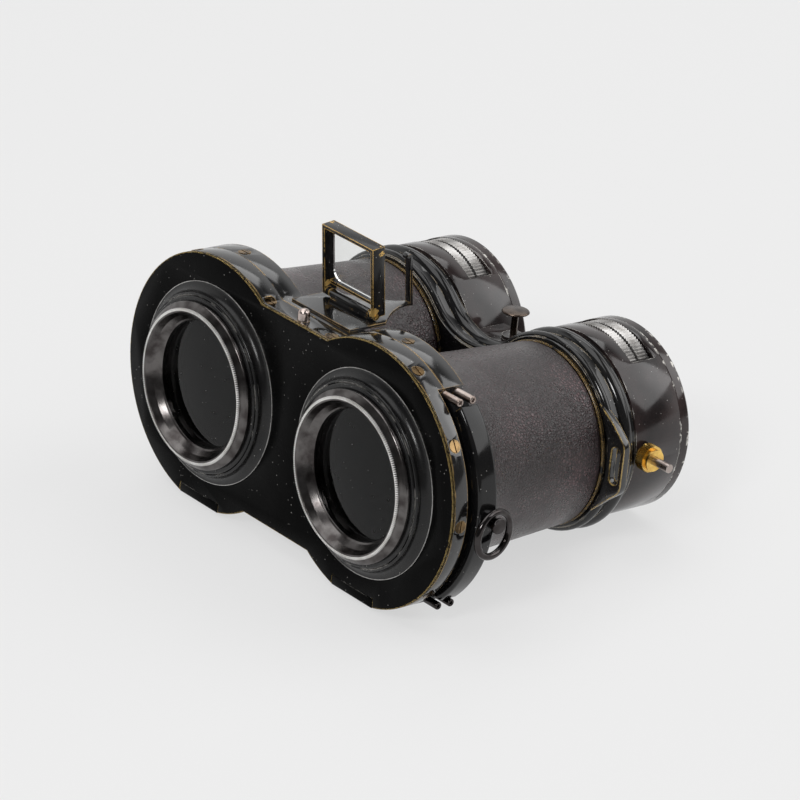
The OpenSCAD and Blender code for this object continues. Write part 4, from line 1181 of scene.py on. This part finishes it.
@dataclass
class RearBridge:
    """The rear bridge: beads along a figure-eight outline, and a slotted ear on each side."""

    bore: float = 22.9
    front_bead: tuple[float, float, float] = (0.0, 1.75, 1.15)
    rear_bead: tuple[float, float, float] = (-0.5, 7.0, 1.95)
    ear_t: float = 2.4
    ear_reach: float = 33.2
    ear_rise: float = 1.4
    slot_len: float = 10.5
    slot_w: float = 3.2
    slot_play: float = 0.15
    ear_end: float = 1.9
    ear_rim: float = 1.6
    root_angle: float = 42.0

    def outline(self, growth: float, steps: int = 56) -> list[Point]:
        """Points of the outline, grown.

        Args:
            growth: How far the outline grows, in millimetres.
            steps: Steps along each round.

        Returns:
            Points of (x, z).
        """
        waist, r = SIZE.bridge_waist, SIZE.bridge_r
        hollow = (SIZE.axis_x**2 + waist**2 - r * r) / (2 * (r - waist))
        top = waist + hollow
        join = math.degrees(math.atan(top / SIZE.axis_x))
        few = steps // 4
        points = arc(SIZE.axis_x, 0, r + growth, 180 - join, join - 180, steps)
        points += arc(0, -top, hollow - growth, join, 180 - join, few)[1:-1]
        points += arc(-SIZE.axis_x, 0, r + growth, -join, join - 360, steps)
        points += arc(0, top, hollow - growth, 180 + join, 360 - join, few)[1:-1]
        return points

    def profile(self) -> list[Point]:
        """The run of the beads as points of (growth, distance behind the bridge's front)."""
        front = arc(*self.front_bead, -90, 90, 9)
        rear = arc(*self.rear_bead, -78, 78, 12)
        length = SIZE.bridge_y1 - SIZE.bridge_y0
        return (
            [(-0.2, 0.0), (0.0, 0.25)]
            + [(max(g, 0.0), y) for g, y in front]
            + [(0.0, 3.2), (-0.1, 4.0), (0.0, 4.8)]
            + [(max(g, 0.0), y) for g, y in rear]
            + [(0.0, length - 0.9), (0.0, length - 0.2), (-0.2, length)]
        )

    def shell(self) -> Piece:
        """Makes the bridge with its two bores."""
        bm = bmesh.new()
        rings = []
        for growth, y in self.profile():
            rings.append([bm.verts.new((x, SIZE.bridge_y0 + y, z)) for x, z in self.outline(growth)])
        skin(bm, rings)
        bores = []
        for ring, y in ((rings[0], SIZE.bridge_y0), (rings[-1], SIZE.bridge_y1)):
            pair = []
            for side in Side:
                round_edge = circle(side.value * SIZE.axis_x, 0, self.bore, 72)
                pair.append([bm.verts.new((x, y, z)) for x, z in round_edge])
            fill(bm, [ring, *pair])
            bores.append(pair)
        for bore in zip(*bores):
            skin(bm, bore)
        piece = finish_mesh(bm, "rear_bridge_beaded", 40)
        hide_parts("rear_bridge")
        return dress(piece, FINISH.bridge)

    def ear(self, side: Side) -> Piece:
        """Makes one strap ear.

        Args:
            side: The side it stands on.

        Returns:
            The ear.
        """
        tip = self.ear_reach
        half = self.slot_len / 2 + self.ear_end
        root = SIZE.bridge_r - 0.6
        start = math.radians(self.root_angle)
        corners = [
            (root * math.cos(start), root * math.sin(start) - self.ear_rise, 0.0),
            (tip - 5.2, half + 4.2, 14.0),
            (tip, half - 0.2, 4.4),
            (tip, 0.2 - half, 4.4),
            (tip - 5.2, -half - 4.2, 14.0),
            (root * math.cos(start), -root * math.sin(start) - self.ear_rise, 0.0),
        ]
        outline = rounded(corners, steps=8)
        slot_x = tip - self.slot_w / 2 - self.ear_rim
        straight = (self.slot_len - self.slot_w) / 2
        r = self.slot_w / 2 + self.slot_play
        slot = arc(slot_x, straight, r, 0, 180, 10) + arc(slot_x, -straight, r, 180, 360, 10)
        sign = side.value

        def across(points: Sequence[Point]) -> list[Point]:
            """Takes points of the right side to this side."""
            return [(sign * (SIZE.axis_x + x), z + self.ear_rise) for x, z in points]

        back = SIZE.bridge_y0 + self.ear_t
        name = f"strap_ear_{side.word}"
        piece = plate(name, across(outline), SIZE.bridge_y0, back, holes=[across(slot)], edge=0.35)
        return dress(piece, FINISH.ear)

    def build(self) -> None:
        """Makes the whole bridge."""
        self.shell()
        for side in Side:
            self.ear(side)


@dataclass
class RearDrum(OnLensAxis):
    """One rear drum with its cap, wheels and spindle."""

    wall: float = 1.25
    floor_t: float = 1.38
    eye_r: float = 5.2
    spindle_r: float = 1.6

    def cap(self) -> Piece:
        """Makes the cap: a raised, rounded edge round a flat floor, and an eye ring on the lens axis."""
        y0 = SIZE.drum_y1 + 0.02
        y1 = SIZE.cap_y1
        r, eye = SIZE.drum_r, self.eye_r
        floor = y0 + self.floor_t
        thread = r - self.wall
        corners = [
            (r - 2.4, y0 - 1.4, 0),
            (thread, y0 - 1.4, 0),
            (thread, y0, 0),
            (r - 0.12, y0, 0.1),
            (r, y0 + 0.25, 0.15),
            (r, y1 - 0.7, 0.6),
            (r - 0.6, y1, 0.5),
            (r - 1.7, y1, 0.3),
            (r - 2.0, y1 - 0.5, 0.3),
            (r - 2.1, floor, 0.4),
            (r - 4.0, floor, 0.2),
            (r - 4.0, y0, 0),
            (r - 2.4, y0, 0),
        ]
        name = self.named("drum_cap")
        rim = turned(f"{name}_rim", rounded(corners), self.x, SIZE.drum_rise, segments=180)
        dress(rim, FINISH.rear)
        hole = circle(self.x, 0.0, eye, 72)
        spindle = circle(self.x, SIZE.wheel_offset, self.spindle_r, 32)
        outline = circle(self.x, SIZE.drum_rise, r - 3.9, 120)
        disc = plate(f"{name}_floor", outline, y0, floor, holes=[hole, spindle], edge=0.12)
        dress(disc, FINISH.rear)
        ring = [
            (eye, floor - 0.1, 0.0),
            (eye + 1.5, floor - 0.1, 0.0),
            (eye + 1.5, y1 - 0.4, 0.35),
            (eye + 0.3, y1 - 0.4, 0.2),
            (eye, y1 - 0.8, 0.2),
        ]
        lip = turned(f"{name}_eye_ring", rounded(ring), self.x, segments=96)
        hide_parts(name)
        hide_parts(name)
        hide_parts(name)
        return dress(lip, FINISH.rear)

    def drum(self) -> Piece:
        """Softens the drum's edges."""
        return dress(softened(self.named("turret_drum"), 0.18), FINISH.rear)

    def build(self) -> None:
        """Makes the whole drum."""
        self.cap()
        self.drum()
        for stem in ("lens_wheel", "stop_wheel"):
            paint(self.named(stem), FINISH.wheel)
        for stem in ("spindle", "detent_spring"):
            paint(self.named(stem), FINISH.steel)
        paint(self.named("camera_lens"), FINISH.brass)
        paint(self.named("eyepiece_lenses"), FINISH.clear)


@dataclass
class FrontBody:
    """The figure-eight front: lid, body frame, feet, screws and rods."""

    face_edge: float = 0.22
    band_edge: float = 0.154
    foot_edge: float = 0.1
    rod_edge: float = 0.25

    def build(self) -> None:
        """Makes the whole front."""
        dress(softened("front_plate", self.face_edge), FINISH.face)
        for node in ("lid_band", "body_frame"):
            dress(softened(node, self.band_edge), FINISH.body)
        for node in ("front_partition", "back_wall"):
            paint(node, FINISH.inside)
        dress(softened("foot_blocks", self.foot_edge), FINISH.feet)
        for node in ("lid_screws", "frame_screws"):
            paint(node, FINISH.screws)
        # The upper rods are bright; the lower ones get the darker steel as painted shade, since all four are
        # the same steel pins
        rods = dress(softened("guide_rods", self.rod_edge), FINISH.stud)
        rods.data.materials.append(FINISH.dark_steel_and_rod_shade)
        for face in rods.data.polygons:
            face.material_index = int(face.center.z < SPACE.place(0, 0, 0).z)


@dataclass
class Drawer:
    """The plate drawer with its curved front, post and pull ring."""

    front_inner_r: float = 36.034
    front_outer_r: float = 39.034
    half_h: float = 28.2
    y0: float = 7.8
    y1: float = 14.4
    inner_round: float = 0.15
    outer_round: float = 1.1
    edge: float = 0.4
    steps: int = 64

    def front(self) -> Piece:
        """Makes the curved front, with rounded edges all round."""
        section = rounded(
            [
                (self.front_inner_r, self.y0, self.inner_round),
                (self.front_inner_r, self.y1, self.inner_round),
                (self.front_outer_r, self.y1, self.outer_round),
                (self.front_outer_r, self.y0, self.outer_round),
            ],
            steps=6,
        )
        bm = bmesh.new()
        rings = []
        span = math.asin(self.half_h / self.front_outer_r)
        for k in range(self.steps + 1):
            a = -span + 2 * span * k / self.steps
            ring = []
            for r, y in section:
                z = r * math.sin(a)
                limit = max(-self.half_h, min(self.half_h, z))
                ring.append(bm.verts.new((SIZE.axis_x + math.sqrt(r * r - limit * limit), y, limit)))
            rings.append(ring)
        skin(bm, rings)
        bm.faces.new(rings[0])
        bm.faces.new(rings[-1])
        piece = with_soft_edges(finish_mesh(bm, "drawer_front_curved", 50), self.edge, 3)
        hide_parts("drawer_front")
        return dress(piece, FINISH.drawer, DRAWER)

    def build(self) -> None:
        """Makes the whole drawer."""
        self.front()
        dress(softened("plate_drawer", 0.12), FINISH.inside, DRAWER)
        paint("plate_sheaths", FINISH.inside)
        paint("glass_plates", FINISH.clear)
        dress(softened("ring_post", 0.25, 3), FINISH.dark_steel_and_rod_shade, DRAWER)
        paint("pull_ring", FINISH.dark_steel_and_rod_shade)


@dataclass
class Finder:
    """The folding finder: base plate with its sight, frame, lens and pin."""

    def build(self) -> None:
        """Makes the whole finder."""
        dress(softened("finder_base", 0.12), FINISH.body)
        dress(softened("finder_frame", 0.12), FINISH.finder, "finder_frame")
        paint("finder_lens", FINISH.clear)
        paint("finder_pin", FINISH.brass)


@dataclass
class Shutter:
    """The shutter: housing, plate, release and tension nut."""

    knob_travel: float = 1.5
    button_travel: float = 1.0

    def spring(self, node: str) -> None:
        """Softens a spring and gives the softened copy a mesh of its own.

        Args:
            node: The spring's CAD node.
        """
        piece = dress(softened(node, 0.02), FINISH.steel)
        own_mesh(piece)

    def build(self) -> None:
        """Makes the whole shutter."""
        dress(softened("shutter_housing", 0.3), FINISH.rear)
        paint("shutter_plate", FINISH.steel)
        dress(softened("release_knob", 0.12), FINISH.bronze, "release_knob")
        paint("release_bush", FINISH.rear)
        self.spring("release_spring")
        paint("tension_stud", FINISH.stud)
        paint("tension_nut", FINISH.brass)
        paint("wheel_spacers", FINISH.brass)
        dress(softened("catch_button", 0.2), FINISH.steel, "catch_button")
        self.spring("catch_spring")


# Studio


def direction(azimuth: float, elevation: float) -> Vector:
    """The direction from the object to a viewer at an azimuth and elevation in degrees."""
    a, e = math.radians(azimuth), math.radians(elevation)
    return Vector((math.sin(a) * math.cos(e), -math.cos(a) * math.cos(e), math.sin(e)))


def aimed(data: bpy.types.ID, target: Vector, azimuth: float, elevation: float, distance: float) -> Piece:
    """Adds a lamp or a camera that looks at a target.

    Args:
        data: The lamp's or the camera's data, which also names the object.
        target: The point that it looks at.
        azimuth: Angle round the target in degrees.
        elevation: Angle above the horizon in degrees.
        distance: Distance from the target in metres.

    Returns:
        The lamp or camera.
    """
    away = direction(azimuth, elevation)
    made = add(data.name, data)
    made.location = target + away * distance
    made.rotation_euler = away.to_track_quat("Z", "Y").to_euler()
    return made


@dataclass(frozen=True)
class Lamp:
    """One soft lamp that looks at the camera's middle."""

    name: str
    azimuth: float
    elevation: float
    distance: float
    width: float
    height: float
    power: float

    def build(self, target: Vector) -> None:
        """Sets up the lamp.

        Args:
            target: The point that it looks at.
        """
        data = bpy.data.lights.new(self.name, "AREA")
        data.shape = "RECTANGLE"
        data.size, data.size_y = self.width, self.height
        data.energy = self.power
        aimed(data, target, self.azimuth, self.elevation, self.distance)


@dataclass
class Studio:
    """Floor, lamps, world and camera."""

    pale: float = 0.823
    shadow: float = 0.26
    world_level: float = 0.3
    room_level: float = 0.12
    sweep_fade: float = 0.2
    # The heights at which the sweep has faded out and at which it is full
    sweep_top: Point = (0.75, 0.55)
    floor_half: float = 6.0
    azimuth: float = 51.17
    elevation: float = 26.80
    distance: float = 1.2087
    focal: float = 197.8
    sensor: float = 36.0
    aim: tuple[float, float, float] = (17.26, 25.89, 10.01)
    lit_spot: tuple[float, float, float] = (0.0, 45.0, 0.0)

    def floor(self) -> None:
        """Makes the pale floor: paper that keeps a faint shadow of the object."""
        bm = bmesh.new()
        bmesh.ops.create_grid(bm, x_segments=2, y_segments=2, size=self.floor_half)
        piece = to_piece(bm, "studio_floor")
        shader = Shader("studio_paper")
        shader.set(Base_Color=grey(self.pale), Roughness=0.9, Specular_IOR_Level=0.0)
        glow = shader.node("ShaderNodeEmission", {"Color": grey(self.pale), "Strength": 1.0}).outputs[0]
        share = shader.times(self.seen_rays(shader), 1.0 - self.shadow)
        mixed = shader.node("ShaderNodeMixShader", {0: share, 1: shader.surface.outputs[0], 2: glow})
        shader.join(mixed.outputs[0], shader.output.inputs["Surface"])
        piece.data.materials.append(shader.material)

    def seen_rays(self, nodes: Nodes) -> Socket:
        """Tells the rays that show the background: seen directly, mirrored or through glass.

        Args:
            nodes: The nodes of the floor's or the world's shader.

        Returns:
            1 for those rays and 0 for the others.
        """
        path = nodes.node("ShaderNodeLightPath").outputs
        seen = nodes.math("MAXIMUM", path["Is Camera Ray"], path["Is Glossy Ray"])
        return nodes.math("MAXIMUM", seen, path["Is Transmission Ray"])

    def sweep(self, nodes: Nodes) -> Socket:
        """Tells the directions of the pale sweep, which stands behind the object and fades out upwards.

        Args:
            nodes: The nodes of the world's shader.

        Returns:
            1 on the sweep, 0 in the dark of the studio.
        """
        where = nodes.node("ShaderNodeTexCoord").outputs["Generated"]
        behind = nodes.vector("DOT_PRODUCT", where, -direction(self.azimuth, 0.0))
        above = nodes.vector("DOT_PRODUCT", where, Vector((0, 0, 1)))
        return nodes.times(nodes.ramp(behind, 0.0, self.sweep_fade), nodes.ramp(above, *self.sweep_top))

    def world(self) -> None:
        """Makes the world: soft light, a pale sweep behind the object, and a dim room for reflections."""
        world = bpy.data.worlds.new("studio_world")
        bpy.context.scene.world = world
        world.use_nodes = True
        world.node_tree.nodes.clear()
        nodes = Nodes(world.node_tree)

        def background(level: float, strength: float) -> Socket:
            """One even background."""
            return nodes.node("ShaderNodeBackground", {"Color": grey(level), "Strength": strength}).outputs[0]

        def mixed(factor: Socket, one: Socket, two: Socket) -> Socket:
            """Mixes two backgrounds."""
            return nodes.node("ShaderNodeMixShader", {0: factor, 1: one, 2: two}).outputs[0]

        glossy = nodes.node("ShaderNodeLightPath").outputs["Is Glossy Ray"]
        pale = background(self.pale, 1.0)
        room = mixed(self.sweep(nodes), background(1.0, self.room_level), pale)
        shown = mixed(glossy, pale, room)
        light = background(1.0, self.world_level)
        nodes.node("ShaderNodeOutputWorld", {"Surface": mixed(self.seen_rays(nodes), light, shown)})

    def camera(self) -> None:
        """Sets up the camera at the photograph's angle."""
        data = bpy.data.cameras.new("studio_camera")
        data.lens = self.focal
        data.sensor_width = self.sensor
        data.clip_start, data.clip_end = 0.05, 30.0
        target = SPACE.place(*self.aim)
        bpy.context.scene.camera = aimed(data, target, self.azimuth, self.elevation, self.distance)

    def build(self) -> None:
        """Makes the whole studio."""
        self.floor()
        self.world()
        middle = SPACE.place(*self.lit_spot)
        for lamp in (
            Lamp("top_light", -60, 75, 1.6, 1.4, 1.2, 9),
            Lamp("back_light", 228, 50, 1.7, 1.0, 0.6, 4),
            Lamp("right_light", 145, 40, 1.6, 1.3, 1.35, 12),
            Lamp("key_light", 25, 42, 1.6, 0.42, 0.32, 8),
        ):
            lamp.build(middle)
        self.camera()
        bpy.context.scene.view_settings.view_transform = "Standard"


def main() -> None:
    """Builds the whole dressed camera and its studio."""
    logging.basicConfig(level=logging.INFO, format="%(message)s")
    Studio().build()
    FrontBody().build()
    for side in Side:
        Objective(side).build()
        Barrel(side).build()
        RearDrum(side).build()
    RearBridge().build()
    Drawer().build()
    Finder().build()
    Shutter().build()


if __name__ == "__main__":
    main()
